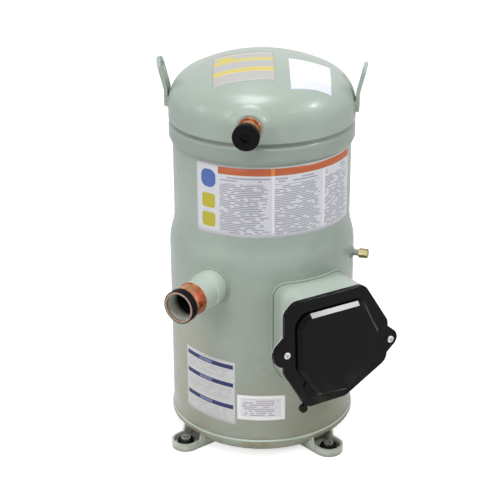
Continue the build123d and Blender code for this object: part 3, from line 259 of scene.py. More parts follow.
def shell_paint():
    """Sprayed grey-green enamel: uneven, with painted shade on the cap's skirt, below its edge, in its
    groove and on the right side, painted light on the terminal box and the suction fitting, yellowed low
    down and at the sides."""
    f = Finish("shell_paint", Specular_IOR_Level=0.4, Coat_Weight=0.12, Coat_Roughness=0.16)
    fresh = srgb(159, 172, 162)
    flat = srgb(151, 164, 154)
    olive = srgb(143, 145, 127)
    chip = srgb(136, 146, 136)
    colour = f.mix(f.span(f.noise(14, 4), 0.35, 0.65), fresh, flat)
    low_down = f.span(f.height(), *olive_heights)
    patches = f.span(f.noise(9, 5, 0.6), 0.30, 0.62, 0.35, 1.0)
    colour = f.mix(f.math("MULTIPLY", low_down, patches), colour, olive)
    for azimuth, top, low, share, stain in side_stains_and_shade:
        side = f.span(f.toward(azimuth), *stain_and_shade_reach)
        reach = f.math("MULTIPLY", side, f.span(f.height(), top, low))
        spread = f.math("MULTIPLY", f.span(f.noise(22, 4, 0.6), 0.3, 0.6, 0.4, 1.0), share)
        colour = f.mix(f.math("MULTIPLY", reach, spread), colour, srgb(*stain))
    at_rim = f.span(f.height(), *rim_rust_heights)
    rust = f.span(f.noise(40, 4), 0.4, 0.65)
    colour = f.mix(f.math("MULTIPLY", at_rim, rust), colour, srgb(132, 126, 98))
    # Painted shade in the cap's groove, uneven along it.
    from_groove = f.math("ABSOLUTE", f.math("SUBTRACT", f.height(), groove_z))
    groove_shade = f.span(f.noise(30, 3), 0.3, 0.6, 0.5, 0.9)
    shade_in_groove = f.math("MULTIPLY", f.span(from_groove, 4.0 * MM, 1.5 * MM), groove_shade)
    colour = f.mix(shade_in_groove, colour, srgb(104, 112, 103))
    # Painted shade just below the edge of the cap's skirt.
    under_skirt = f.span(f.height(), cap_low.z + 3.0 * MM, cap_low.z - 1.0 * MM)
    near = f.span(f.height(), cap_low.z - 9.0 * MM, cap_low.z - 2.0 * MM)
    shade_below_skirt = f.math("MULTIPLY", under_skirt, near)
    colour = f.mix(f.math("MULTIPLY", shade_below_skirt, 0.45), colour, srgb(112, 118, 104))
    # Painted shade on the cap's skirt, between its edge and its groove.
    above_edge = f.span(f.height(), cap_low.z, cap_low.z + 3.0 * MM)
    below_groove = f.span(f.height(), cap_low.z + 24.0 * MM, cap_low.z + 15.0 * MM)
    shade_on_skirt = f.math("MULTIPLY", above_edge, below_groove)
    colour = f.mix(f.math("MULTIPLY", shade_on_skirt, 0.42), colour, srgb(120, 130, 121))
    # Painted light: the terminal box and the suction fitting paler where they stand out from the shell.
    for azimuth, share in ((suction_az, 0.6), (box_az, 0.55)):
        lit_standing = f.span(f.toward(azimuth), shell_r + 1.0 * MM, shell_r + 12.0 * MM)
        colour = f.mix(f.math("MULTIPLY", lit_standing, share), colour, srgb(186, 197, 188))
    specks = f.span(f.cells(420), 0.10, 0.07)
    rare = f.span(f.noise(60, 2), 0.66, 0.70)
    colour = f.mix(f.math("MULTIPLY", specks, rare), colour, chip)
    skin = f.bump(f.noise(520, 2), 0.00006)
    form = f.bump(f.noise(38, 3), 0.0005, skin)
    roughness = f.span(f.noise(30, 5, 0.6), 0.3, 0.7, 0.26, 0.38)
    return f.done(colour, roughness, form)


def heated_copper(name, azimuth, height, bore_r, outer_r, end):
    """Copper tube with flame colours outside, painted shade on its underside, a filed end and a bore
    painted pale as if lit at its mouth, with painted shade deeper in.
    """
    f = Finish(name)
    axis = outward(azimuth)
    point = Vector((0.0, 0.0, height))
    drawn = f.scaled((1, 1, 2.2))
    tint = f.noise(46, 3, 0.55, drawn, 0.6)
    copper = f.ramp(
        tint,
        (0.30, srgb(124, 60, 42)),
        (0.44, srgb(196, 102, 74)),
        (0.54, srgb(224, 140, 110)),
        (0.64, srgb(228, 182, 126)),
        (0.74, srgb(194, 98, 74)),
    )
    # Painted shade: the tube's underside darker.
    under = f.span(f.height(), height - 0.2 * outer_r, height - 0.95 * outer_r)
    copper = f.mix(f.math("MULTIPLY", under, 0.75), copper, srgb(84, 42, 26))
    reach = f.axis_distance(point, axis)
    deep = f.math("SUBTRACT", end, f.toward(azimuth))
    filed = f.mix(f.noise(160, 3), srgb(176, 158, 144), srgb(128, 106, 90))
    # Painted light: the bore pale near its mouth as if lit, then painted shade deeper in.
    grey = f.mix(f.noise(70, 3), srgb(226, 232, 222), srgb(198, 204, 190))
    lining = f.mix(f.span(deep, 2.5 * MM, 4.0 * MM), filed, grey)
    lining = f.mix(f.span(deep, 15.0 * MM, 24.0 * MM), lining, srgb(16, 18, 14))
    on_end = f.math("LESS_THAN", reach, outer_r - 0.06 * MM)
    in_bore = f.math("LESS_THAN", reach, bore_r + 0.08 * MM)
    colour = f.mix(on_end, copper, filed)
    colour = f.mix(in_bore, colour, lining)
    roughness = f.span(f.noise(120, 3), 0.3, 0.7, 0.26, 0.42)
    metal = f.span(in_bore, 0.0, 1.0, 1.0, 0.2)
    grain = f.bump(f.noise(700, 2), 0.00003)
    return f.done(colour, roughness, grain, metal)


def black_rubber():
    """Matte moulded rubber with a faint bloom."""
    f = Finish("black_rubber", Specular_IOR_Level=0.1)
    bloom = f.span(f.noise(90, 4, 0.6), 0.5, 0.8)
    colour = f.mix(bloom, srgb(7, 7, 8), srgb(19, 18, 17))
    roughness = f.span(f.noise(60, 3), 0.3, 0.7, 0.42, 0.6)
    return f.done(colour, roughness, f.bump(f.noise(900, 2), 0.00004))


def gloss_cover():
    """Deep black gloss moulding with a little flow in its skin, a few dust specks and a painted brownish
    reflection low down.
    """
    f = Finish("cover_gloss", Specular_IOR_Level=0.11)
    dust = f.math("MULTIPLY", f.span(f.cells(520), 0.08, 0.05), f.span(f.noise(40, 2), 0.58, 0.62))
    colour = f.mix(f.noise(30, 3), srgb(3, 3, 5), srgb(7, 7, 8))
    # Painted reflection: a brownish sheen on the cover's lower part.
    painted_sheen = f.math("MULTIPLY", f.span(f.height(), 0.15, 0.09), f.span(f.noise(50, 4), 0.45, 0.7))
    colour = f.mix(painted_sheen, colour, srgb(44, 41, 28))
    colour = f.mix(dust, colour, srgb(62, 60, 56))
    roughness = f.span(f.noise(24, 4), 0.3, 0.7, 0.09, 0.13)
    flow = f.bump(f.noise(60, 2), 0.00003)
    return f.done(colour, roughness, flow)


def plated_steel(name, tone, dull):
    """Zinc plating with small cloudy patches."""
    f = Finish(name, Metallic=1.0)
    colour = f.mix(f.span(f.noise(150, 4, 0.6), 0.35, 0.7), srgb(*tone), srgb(*dull))
    roughness = f.span(f.noise(220, 3), 0.3, 0.7, 0.28, 0.45)
    return f.done(colour, roughness, f.bump(f.noise(1100, 2), 0.00002))


def turned_metal(name, tone, dull, rings=2600.0):
    """Machined metal with fine rings left by the tool around the shaft's axis."""
    f = Finish(name, Metallic=1.0)
    travel = f.math("ADD", f.from_axis(), f.height())
    groove = f.math("SINE", f.math("MULTIPLY", travel, rings))
    colour = f.mix(f.noise(50, 4), srgb(*tone), srgb(*dull))
    roughness = f.span(f.noise(90, 3), 0.3, 0.7, 0.24, 0.4)
    return f.done(colour, roughness, f.bump(groove, 0.00001))


def cast_surface(name, tone, dull, metal=0.85):
    """Rough sand-cast skin."""
    f = Finish(name, Metallic=metal)
    colour = f.mix(f.noise(60, 5, 0.7), srgb(*tone), srgb(*dull))
    pits = f.bump(f.cells(600), 0.00012)
    form = f.bump(f.noise(140, 4), 0.0002, pits)
    return f.done(colour, f.span(f.noise(80, 3), 0.3, 0.7, 0.5, 0.7), form)


def steel_laminations():
    """Stacked electrical steel: thin level sheets, browner in places."""
    f = Finish("laminations", Metallic=0.9)
    sheets = f.math("SINE", f.math("MULTIPLY", f.height(), 2 * pi / (0.5 * MM)))
    colour = f.mix(f.noise(45, 4), srgb(122, 124, 128), srgb(96, 92, 90))
    return f.done(colour, f.span(f.noise(70, 3), 0.3, 0.7, 0.4, 0.55), f.bump(sheets, 0.00004))


def enamelled_wire():
    """Wound copper wire under varnish, the turns running round the axis, with painted shade between the
    turns and a painted highlight on their crowns.
    """
    f = Finish("winding_wire", Metallic=0.75, Coat_Weight=0.6, Coat_Roughness=0.2)
    wander = f.math("MULTIPLY", f.noise(30, 2), 0.004)
    turns = f.math("ADD", f.math("ADD", f.from_axis(), f.height()), wander)
    strand = f.math("ABSOLUTE", f.math("SINE", f.math("MULTIPLY", turns, pi / (1.1 * MM))))
    # Painted shade between the turns and a painted highlight on their crowns.
    colour = f.ramp(strand, (0.0, srgb(70, 30, 14)), (0.5, srgb(150, 76, 38)), (1.0, srgb(186, 104, 58)))
    return f.done(colour, f.span(f.noise(80, 2), 0.3, 0.7, 0.3, 0.45), f.bump(strand, 0.0004))


def moulded_plastic(name, tone, dull, roughness=0.45):
    """Plain moulded plastic with a fine spark texture."""
    f = Finish(name)
    colour = f.mix(f.noise(70, 3), srgb(*tone), srgb(*dull))
    rough = f.span(f.noise(90, 2), 0.3, 0.7, roughness - 0.05, roughness + 0.08)
    return f.done(colour, rough, f.bump(f.noise(800, 2), 0.00005))


def fused_glass():
    """Glass bead around a pin, green and slightly bubbly."""
    f = Finish("pin_glass", Transmission_Weight=0.6, IOR=1.5)
    colour = f.mix(f.cells(900), srgb(120, 170, 158), srgb(168, 206, 194))
    return f.done(colour, f.span(f.noise(200, 2), 0.3, 0.7, 0.06, 0.14), f.bump(f.noise(400, 2), 0.00004))


def weld_metal(name, tone=(160, 174, 162), dull=(138, 150, 138)):
    """A weld bead under enamel, in two tones of it."""
    f = Finish(name, Coat_Weight=0.15, Coat_Roughness=0.25)
    colour = f.mix(f.noise(200, 4, 0.6), srgb(*tone), srgb(*dull))
    roughness = f.span(f.noise(150, 3), 0.3, 0.7, 0.36, 0.5)
    return f.done(colour, roughness, f.bump(f.noise(900, 3), 0.0001))


def braze_metal():
    """Brazing alloy, coppery yellow with flux stains."""
    f = Finish("braze_alloy", Metallic=1.0)
    colour = f.ramp(
        f.noise(160, 4, 0.6),
        (0.35, srgb(104, 58, 38)),
        (0.5, srgb(160, 96, 62)),
        (0.65, srgb(184, 130, 88)),
    )
    return f.done(colour, f.span(f.noise(200, 3), 0.3, 0.7, 0.3, 0.5), f.bump(f.noise(500, 3), 0.0002))


# The look of every material slot in the record.
finishes = {
    "painted_steel": shell_paint(),
    "black_rubber": black_rubber(),
    "zinc_steel": plated_steel("zinc_steel", (222, 222, 218), (180, 179, 174)),
    "brass": turned_metal("valve_brass", (168, 160, 120), (138, 128, 90), 5200.0),
    "black_cover": gloss_cover(),
    "moulded_block": moulded_plastic("terminal_moulding", (52, 46, 42), (40, 35, 32)),
    "plain_steel": plated_steel("plain_steel", (150, 151, 152), (112, 112, 112)),
    "pin_glass": fused_glass(),
    "lead_sleeve": moulded_plastic("lead_sleeve", (206, 196, 168), (184, 172, 142), 0.55),
    "laminations": steel_laminations(),
    "winding_wire": enamelled_wire(),
    "cast_aluminium": cast_surface("cast_aluminium", (190, 191, 194), (160, 162, 166)),
    "counterweight_brass": turned_metal("counterweight_brass", (200, 170, 104), (160, 132, 78)),
    "shaft_steel": turned_metal("shaft_steel", (176, 177, 180), (140, 141, 144), 6000.0),
    "bearing_bronze": turned_metal("bearing_bronze", (176, 136, 84), (134, 98, 58)),
    "cast_iron": cast_surface("cast_iron", (96, 96, 98), (66, 66, 68)),
    "ring_aluminium": turned_metal("ring_aluminium", (190, 190, 194), (160, 160, 166)),
    "seal_iron": turned_metal("seal_iron", (104, 104, 107), (78, 78, 80)),
    "magnet": cast_surface("sintered_magnet", (60, 60, 63), (44, 44, 46), 0.5),
}
# The feet wear a paler copy of the shell's enamel: painted light.
lit_feet_finish = lit_foot_paint()
# The tubes' finishes need their places, so they go by node.
suction_r = suction_bore_r + suction_wall
discharge_bore_r = discharge_r - 1.3 * MM
tube_finishes = {
    "suction_stub": heated_copper(
        "suction_copper", suction_az, suction_z, suction_bore_r, suction_r, suction_end
    ),
    "discharge_stub": heated_copper(
        "discharge_copper", discharge_az, discharge_z, discharge_bore_r, discharge_r, discharge_end
    ),
}


def dress(node, material):
    """Gives a frame node its finish."""
    body = nodes[node].data
    body.materials.clear()
    body.materials.append(material)


for row in frame["record"]["subparts"]:
    node = row["node"]
    if node.startswith("foot_"):
        dress(node, lit_feet_finish)
    elif node in tube_finishes:
        dress(node, tube_finishes[node])
    else:
        dress(node, finishes[row["material_slot"]])


# ---------------------------------------------------------------- meshes
def piece(name, mesh):
    """Puts a finished mesh in the scene, riding on the casing."""
    made = bpy.data.objects.new(name, mesh)
    bpy.context.scene.collection.objects.link(made)
    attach(made, "casing")
    return made


def skin_of(node):
    """A tree for finding a frame node's surface."""
    mesh = nodes[node].data
    triangles = [tuple(p.vertices) for p in mesh.polygons]
    return BVHTree.FromPolygons([v.co for v in mesh.vertices], triangles)


skins = {name: skin_of(name) for name in ("main_shell", "top_cap")}


def side_point(azimuth, height, node="main_shell"):
    """The outer surface met by a level ray towards the axis, with its normal."""
    start = outward(azimuth) * 2 * shell_r + Vector((0, 0, height))
    hit, normal, _, _ = skins[node].ray_cast(start, -outward(azimuth))
    return hit, normal


def dome_point(x, y):
    """The top cap's surface straight below a point, with its normal."""
    hit, normal, _, _ = skins["top_cap"].ray_cast(Vector((x, y, 2 * top_z)), Vector((0, 0, -1)))
    return hit, normal


def laid_sheet(name, surface, columns, rows, lift, thickness, finish):
    """A closed thin sheet lying on a surface, with its print on its own UV map."""
    bm = bmesh.new()
    uv = bm.loops.layers.uv.new("print")
    sides = []
    for offset in (lift, lift + thickness):
        grid = []
        for j in range(rows + 1):
            line = []
            for i in range(columns + 1):
                point, normal = surface(i / columns, j / rows)
                spot = point + normal * offset
                # The sheet over the crown stays under the cap's highest point.
                spot.z = min(spot.z, top_z + offset - lift - thickness)
                line.append(bm.verts.new(spot))
            grid.append(line)
        sides.append(grid)
    back, front = sides

    def face(corners, places):
        made = bm.faces.new(corners)
        made.smooth = True
        for loop, (i, j) in zip(made.loops, places):
            loop[uv].uv = (i / columns, j / rows)

    for j in range(rows):
        for i in range(columns):
            around = ((i, j), (i + 1, j), (i + 1, j + 1), (i, j + 1))
            face([front[b][a] for a, b in around], around)
            backwards = around[::-1]
            face([back[b][a] for a, b in backwards], backwards)
    edge = [(i, 0) for i in range(columns)] + [(columns, j) for j in range(rows)]
    edge += [(i, rows) for i in range(columns, 0, -1)] + [(0, j) for j in range(rows, 0, -1)]
    for (a, b), (c, d) in zip(edge, edge[1:] + edge[:1]):
        face([back[b][a], back[d][c], front[d][c], front[b][a]], ((a, b), (c, d), (c, d), (a, b)))
    mesh = bpy.data.meshes.new(name)
    bm.to_mesh(mesh)
    bm.free()
    mesh.materials.append(finish)
    return piece(name, mesh)


# ---------------------------------------------------------------- label print
class Print(Finish):
    """Generic print on a label, laid out in millimetres from its lower left corner."""

    def __init__(self, name, width, height, paper):
        super().__init__(name)
        uv = self.add("ShaderNodeUVMap", uv_map="print").outputs[0]
        parts = self.add("ShaderNodeSeparateXYZ", {0: uv})
        self.x = self.math("MULTIPLY", parts.outputs["X"], width)
        self.y = self.math("MULTIPLY", parts.outputs["Y"], height)
        self.colour = self.mix(self.noise(60, 4), srgb(*paper), srgb(*(0.965 * c for c in paper)))

    def within(self, value, low, high):
        above = self.math("GREATER_THAN", value, low)
        return self.math("MULTIPLY", above, self.math("LESS_THAN", value, high))

    def area(self, left, low, right, high):
        return self.math("MULTIPLY", self.within(self.x, left, right), self.within(self.y, low, high))

    def fill(self, mask, colour):
        self.colour = self.mix(mask, self.colour, srgb(*colour))

    def panel(self, left, low, right, high, colour):
        self.fill(self.area(left, low, right, high), colour)

    def past_straight(self, value, low, high, corner):
        """The square of how far a value lies past a side's straight part, into either corner."""
        half = (high - low) / 2
        away = self.math("ABSOLUTE", self.math("SUBTRACT", value, low + half))
        past = self.math("MAXIMUM", self.math("SUBTRACT", away, half - corner), 0.0)
        return self.math("POWER", past, 2.0)

    def rounded(self, left, low, right, high, corner, colour):
        """A filled square with rounded corners."""
        across = self.past_straight(self.x, left, right, corner)
        up = self.past_straight(self.y, low, high, corner)
        reach = self.math("SQRT", self.math("ADD", across, up))
        self.fill(self.math("LESS_THAN", reach, corner), colour)

    def rows(self, left, low, right, high, pitch, colour, word=4.0, gaps=0.25, seed=0.0):
        """Rows of short bars that stand for lines of print, with no letters in them."""
        line = self.math("DIVIDE", self.math("SUBTRACT", self.y, low), pitch)
        number = self.math("ADD", self.math("FLOOR", line), seed)
        ink = self.within(self.math("FRACT", line), 0.22, 0.72)
        chance = "ShaderNodeTexWhiteNoise"
        shift = self.add(chance, {"W": number}, noise_dimensions="1D").outputs["Value"]
        place = self.math("ADD", self.math("DIVIDE", self.x, word), self.math("MULTIPLY", shift, 7.0))
        cell = self.add("ShaderNodeCombineXYZ", {0: self.math("FLOOR", place), 1: number}).outputs[0]
        pick = self.add(chance, {"Vector": cell}, noise_dimensions="2D").outputs["Value"]
        words = self.math("GREATER_THAN", pick, gaps)
        ragged = self.math("SUBTRACT", right, self.math("MULTIPLY", shift, 0.22 * (right - left)))
        ends = self.math("LESS_THAN", self.x, ragged)
        mask = self.math("MULTIPLY", self.math("MULTIPLY", ink, words), ends)
        self.fill(self.math("MULTIPLY", mask, self.area(left, low, right, high)), colour)

    def finished(self, wrinkle=0.0):
        """The material, with its paper smooth or wrinkled by a depth in metres."""
        roughness = self.span(self.noise(50, 3), 0.3, 0.7, 0.34, 0.46)
        if wrinkle:
            normal = self.bump(self.noise(45, 3), wrinkle)
        else:
            normal = self.bump(self.noise(300, 2), 0.00002)
        return self.done(self.colour, roughness, normal)


paper_lift = 0.06 * MM
paper_t = 0.12 * MM
side_label_rows = 12
dome_label_grid = 28
print_grey = (140, 140, 152)
deep_blue = (18, 28, 92)


def round_label(name, az_left, az_right, z_low, z_high, draw, tilt=0.0):
    """A label wrapped around the shell. Tilt is how far its right end lies lower."""
    middle = side_point((az_left + az_right) / 2, (z_low + z_high) / 2)[0]
    width = radians(az_right - az_left) * hypot(middle.x, middle.y)
    height = z_high - z_low

    def surface(u, v):
        azimuth = az_left + (az_right - az_left) * u
        return side_point(azimuth, z_low + height * v - tilt * (u - 0.5))

    columns = round(az_right - az_left)
    finish = draw(name, width / MM, height / MM)
    return laid_sheet(name, surface, columns, side_label_rows, paper_lift, paper_t, finish)


def main_print(name, width, height):
    """White panel with an orange strip, three columns of rows and three plain marks."""
    p = Print(name, width, height, (212, 213, 220))
    strip_low = height - 11.0
    columns = (33.0, 103.0, 173.0, width - 1.0)
    for left, right, seed in zip(columns, columns[1:], (3.0, 31.0, 57.0)):
        p.rows(left + 3, strip_low - 9, right - 3, strip_low - 2, 3.4, (150, 150, 164), 9.0, 0.2, seed)
        p.rows(left + 2, 5.0, right - 3, strip_low - 11, 2.3, print_grey, 5.0, 0.2, seed)
    p.panel(columns[0], strip_low, width - 1, height - 1.5, (184, 92, 46))
    p.panel(columns[1] - 2.5, strip_low, columns[1] + 2.0, height - 1.5, (214, 136, 66))
    for divider in columns[1:3]:
        p.panel(divider - 1.2, 3.0, divider + 1.4, strip_low, (226, 225, 228))
    p.rounded(7.5, height - 31.0, 29.5, height - 7.5, 9.0, (72, 100, 168))
    for low in (height - 58.0, height - 83.0):
        p.rounded(8.5, low, 28.5, low + 19.0, 4.0, (184, 172, 44))
    return p.finished()


def plate_print(name, width, height):
    """Three white tiles, each with a dark-blue bar along its top."""
    p = Print(name, width, height, (203, 203, 203))
    tiles = ((height - 5.0, height - 29.0), (height - 31.0, height - 60.0), (height - 63.0, 3.0))
    for top, low in tiles:
        p.rows(6.0, low + 3, width - 5, top - 8, 3.4, (186, 182, 186), 6.0, 0.3, top)
        p.panel(3.0, top - 6.0, width - 3, top, deep_blue)
        p.panel(0.32 * width, top - 4.8, 0.58 * width, top - 1.2, (112, 118, 160))
    return p.finished()


def serial_print(name, width, height):
    """Small grey-white label of rows."""
    p = Print(name, width, height, (238, 237, 237))
    p.panel(5.0, 5.0, width - 6, height - 4, (218, 216, 219))
    p.rows(7.0, 6.0, width - 8, height - 5, 3.0, (164, 158, 168), 4.0, 0.3, 5.0)
    return p.finished()


def stripe_print(name, width, height):
    """White sheet with a yellow patch and pale yellow stripes."""
    p = Print(name, width, height, (176, 175, 173))
    p.panel(2.0, height - 9.0, width - 2, height - 5.0, (196, 190, 164))
    p.rounded(5.0, height - 24.0, 26.0, height - 12.0, 5.5, (196, 182, 76))
    for low in (0.59 * height, 0.24 * height):
        p.panel(0.0, low, width, low + 9.5, (200, 190, 124))
        p.panel(0.0, low + 2.5, width, low + 7.0, (194, 178, 86))
    return p.finished(0.0004)


def bare_print(name, width, height):
    """A bare white sticker, with painted shade along its lower part."""
    p = Print(name, width, height, (238, 241, 250))
    # Painted shade along the sticker's lower part.
    p.panel(0.0, 0.0, width, 0.22 * height, (212, 216, 230))
    return p.finished(0.0003)


def dome_label(name, corners, draw):
    """A sheet laid on the dome between four corners, given from above: left to right, top first."""
    top_left, top_right, low_right, low_left = (Vector(c) * MM for c in corners)
    width = (top_right - top_left).length
    height = (top_left - low_left).length

    def surface(u, v):
        low = low_left.lerp(low_right, u)
        high = top_left.lerp(top_right, u)
        spot = low.lerp(high, v)
        return dome_point(spot.x, spot.y)

    finish = draw(name, width / MM, height / MM)
    return laid_sheet(name, surface, dome_label_grid, dome_label_grid, paper_lift, paper_t, finish)


round_label("main_label", -40.5, 75.0, 0.311, 0.4035, main_print, -0.003)
round_label("plate_label", -50.0, -12.5, 0.050, 0.141, plate_print, 0.005)
round_label("serial_label", -11.5, 18.5, 0.0565, 0.0925, serial_print)
dome_label("stripe_label", ((-62, -2), (13, 6), (22, -73), (-55, -80)), stripe_print)
dome_label("dome_sticker", ((34, -13), (86, -1), (90, -64), (41, -84)), bare_print)


# ---------------------------------------------------------------- weld seams
def bead_tree():
    """Node tree that turns a path into a rippled weld bead."""
    tree = bpy.data.node_groups.new("weld_bead", "GeometryNodeTree")
    face = tree.interface
    face.new_socket("Path", in_out="INPUT", socket_type="NodeSocketGeometry")
    sizes = {"Bead radius": 0.002, "Step": 0.002, "Ripple": 0.15, "Unevenness": 0.15}
    for name, value in sizes.items():
        face.new_socket(name, in_out="INPUT", socket_type="NodeSocketFloat").default_value = value
    face.new_socket("Material", in_out="INPUT", socket_type="NodeSocketMaterial")
    face.new_socket("Bead", in_out="OUTPUT", socket_type="NodeSocketGeometry")

    def add(kind, inputs=(), **settings):
        return add_node(tree, kind, dict(inputs), settings)

    def maths(operation, first, second=0.0):
        return add("ShaderNodeMath", {0: first, 1: second}, operation=operation).outputs[0]

    given = add("NodeGroupInput").outputs
    short = maths("DIVIDE", given["Step"], 4.0)
    resample = add("GeometryNodeResampleCurve", {"Curve": given["Path"], "Length": short}, mode="LENGTH")
    path = resample.outputs[0]
    count = add("GeometryNodeInputIndex").outputs[0]
    wave = maths("SINE", maths("MULTIPLY", count, pi / 2))
    wander = add("ShaderNodeTexNoise", {"Scale": 120.0, "Detail": 2.0}).outputs[0]
    uneven = maths("MULTIPLY", maths("SUBTRACT", wander, 0.5), maths("MULTIPLY", given["Unevenness"], 2.0))
    size = maths("ADD", maths("ADD", 1.0, maths("MULTIPLY", wave, given["Ripple"])), uneven)
    radius = maths("MULTIPLY", size, given["Bead radius"])
    profile = add("GeometryNodeCurvePrimitiveCircle", {"Resolution": 10, "Radius": 1.0}).outputs[0]
    rim = {"Curve": path, "Profile Curve": profile, "Scale": radius, "Fill Caps": True}
    bead = add("GeometryNodeCurveToMesh", rim).outputs[0]
    bead = add("GeometryNodeRealizeInstances", {0: bead}).outputs[0]
    bead = add("GeometryNodeSetMaterial", {"Geometry": bead, "Material": given["Material"]}).outputs[0]
    tree.links.new(bead, add("NodeGroupOutput").inputs[0])
    return tree


bead_nodes = bead_tree()
weld_finish = weld_metal("painted_weld")
# Painted highlight: the rim's bead is the weld enamel painted paler, as if lit from above.
lit_rim_finish = weld_metal("lit_rim_weld", (198, 212, 202), (182, 195, 184))
braze_finish = braze_metal()


def bead(name, points, closed, radius, step, finish, slot="painted_steel", ripple=0.15):
    """A weld bead along a path of points. Step is the length of one ripple."""
    curve = bpy.data.curves.new(name + "_path", "CURVE")
    curve.dimensions = "3D"
    line = curve.splines.new("POLY")
    line.points.add(len(points) - 1)
    for target, point in zip(line.points, points):
        target.co = (*point, 1.0)
    line.use_cyclic_u = closed
    holder = bpy.data.objects.new(name + "_path", curve)
    bpy.context.scene.collection.objects.link(holder)
    modifier = holder.modifiers.new("bead", "NODES")
    modifier.node_group = bead_nodes
    values = {"Bead radius": radius, "Step": step, "Ripple": ripple, "Material": finish}
    for item in bead_nodes.interface.items_tree:
        if item.in_out == "INPUT" and item.name in values:
            modifier[item.identifier] = values[item.name]
    bpy.context.view_layer.update()
    graph = bpy.context.evaluated_depsgraph_get()
    mesh = bpy.data.meshes.new_from_object(holder.evaluated_get(graph))
    mesh.name = name
    bpy.data.objects.remove(holder)
    for polygon in mesh.polygons:
        polygon.use_smooth = True
    return piece(name, mesh)


shell_steps = 240
port_steps = 72
corner_steps = 6
side_steps = 4
lug_steps = 10


def level_ring(radius, height):
    """Points of a level circle about the shaft's axis."""
    azimuths = [360.0 * i / shell_steps for i in range(shell_steps)]
    return [outward(azimuth) * radius + Vector((0, 0, height)) for azimuth in azimuths]


def port_circle(radius):
    """How far right and up the points of a circle lie from its centre."""
    turns = [2 * pi * i / port_steps for i in range(port_steps)]
    return [(radius * cos(turn), radius * sin(turn)) for turn in turns]


def port_ring(azimuth, height, radius):
    """Points on the shell where a round port of a radius meets it."""
    points = []
    for side, up in port_circle(radius):
        start = outward(azimuth) * 2 * shell_r + rightward(azimuth) * side + Vector((0, 0, height + up))
        hit, normal, _, _ = skins["main_shell"].ray_cast(start, -outward(azimuth))
        if hit is None or (hit - start).length > 2 * shell_r:
            reach = (shell_r**2 - side**2) ** 0.5
            hit = outward(azimuth) * reach + rightward(azimuth) * side + Vector((0, 0, height + up))
        points.append(hit)
    return points


def around_box(corners, radius):
    """Points on the shell under the box's outline with its corners rounded."""
    plan = []
    for before, corner, after in zip(corners[-1:] + corners[:-1], corners, corners[1:] + corners[:1]):
        corner, back, on = Vector(corner), Vector(before), Vector(after)
        back = (back - corner).normalized()
        on = (on - corner).normalized()
        half = back.angle(on) / 2
        start = corner + back * radius / tan(half)
        end = corner + on * radius / tan(half)
        centre = corner + (back + on).normalized() * radius / sin(half)
        first, last = start - centre, end - centre
        for i in range(corner_steps + 1):
            plan.append(centre + first.lerp(last, i / corner_steps).normalized() * radius)
    points = []
    for one, two in zip(plan, plan[1:] + plan[:1]):
        for i in range(side_steps):
            x, y = one.lerp(two, i / side_steps) * MM
            start = outward(box_az) * 2 * shell_r + rightward(box_az) * x + Vector((0, 0, box_z + y))
            points.append(skins["main_shell"].ray_cast(start, -outward(box_az))[0])
    return points


def lug_path(azimuth):
    """Down one side of a lug's root, along its lower end and up the other side, on the cap."""
    seam_top = lug_root_high + 8 * MM
    ends = [(-1, seam_top), (-1, lug_root_low), (1, lug_root_low), (1, seam_top)]
    points = []
    for (side, low), (other, high) in zip(ends, ends[1:]):
        for i in range(lug_steps):
            t = i / lug_steps
            across = (side + (other - side) * t) * lug_half_turn
            points.append(side_point(azimuth + across, low + (high - low) * t, "top_cap")[0])
    return points


def tube_ring(azimuth, height, radius, along):
    """A circle around a port's axis, at a distance from the shaft's axis."""
    centre = outward(azimuth) * along + Vector((0, 0, height))
    circle = port_circle(radius)
    return [centre + rightward(azimuth) * side + Vector((0, 0, up)) for side, up in circle]


neck_r = hypot(*side_point(0.0, cap_low.z - 4 * MM)[0].xy)
cap_path = level_ring(neck_r + 0.9 * MM, cap_low.z + 0.2 * MM)
bead("cap_seam", cap_path, True, 2.0 * MM, 2.4 * MM, weld_finish)
rim_path = level_ring(shell_r + 0.5 * MM, rim_z + 0.6 * MM)
bead("rim_seam", rim_path, True, 1.4 * MM, 2.6 * MM, lit_rim_finish, ripple=0.06)

# The box's outline on the shell, in millimetres right of and above its middle.
box_outline = [
    (-53, 74), (46.5, 74), (63, 44.5), (63, -36.5), (16.5, -67), (-38.5, -67), (-53, -40.5),
]
box_corner = 16.0
bead("box_seam", around_box(box_outline, box_corner), True, 1.6 * MM, 2.4 * MM, weld_finish)
for side, azimuth in lug_azimuths.items():
    bead("lug_seam_" + side, lug_path(azimuth), False, 1.6 * MM, 2.2 * MM, weld_finish)

suction_path = port_ring(suction_az, suction_z, suction_collar_r + 0.6 * MM)
bead("suction_seam", suction_path, True, 1.8 * MM, 2.2 * MM, weld_finish)
valve_path = port_ring(valve_az, valve_z, valve_collar_r + 0.3 * MM)
bead("valve_seam", valve_path, True, 1.1 * MM, 1.6 * MM, weld_finish)

braze_along = suction_sleeve_end + 0.3 * MM
bead(
    "suction_braze",
    tube_ring(suction_az, suction_z, suction_r + 0.1 * MM, braze_along),
    True, 0.9 * MM, 1.8 * MM, braze_finish, slot="copper_tube", ripple=0.06,
)
bead(
    "discharge_braze",
    tube_ring(discharge_az, discharge_z, discharge_r + 0.4 * MM, discharge_root),
    True, 1.2 * MM, 1.8 * MM, braze_finish, slot="copper_tube", ripple=0.08,
)


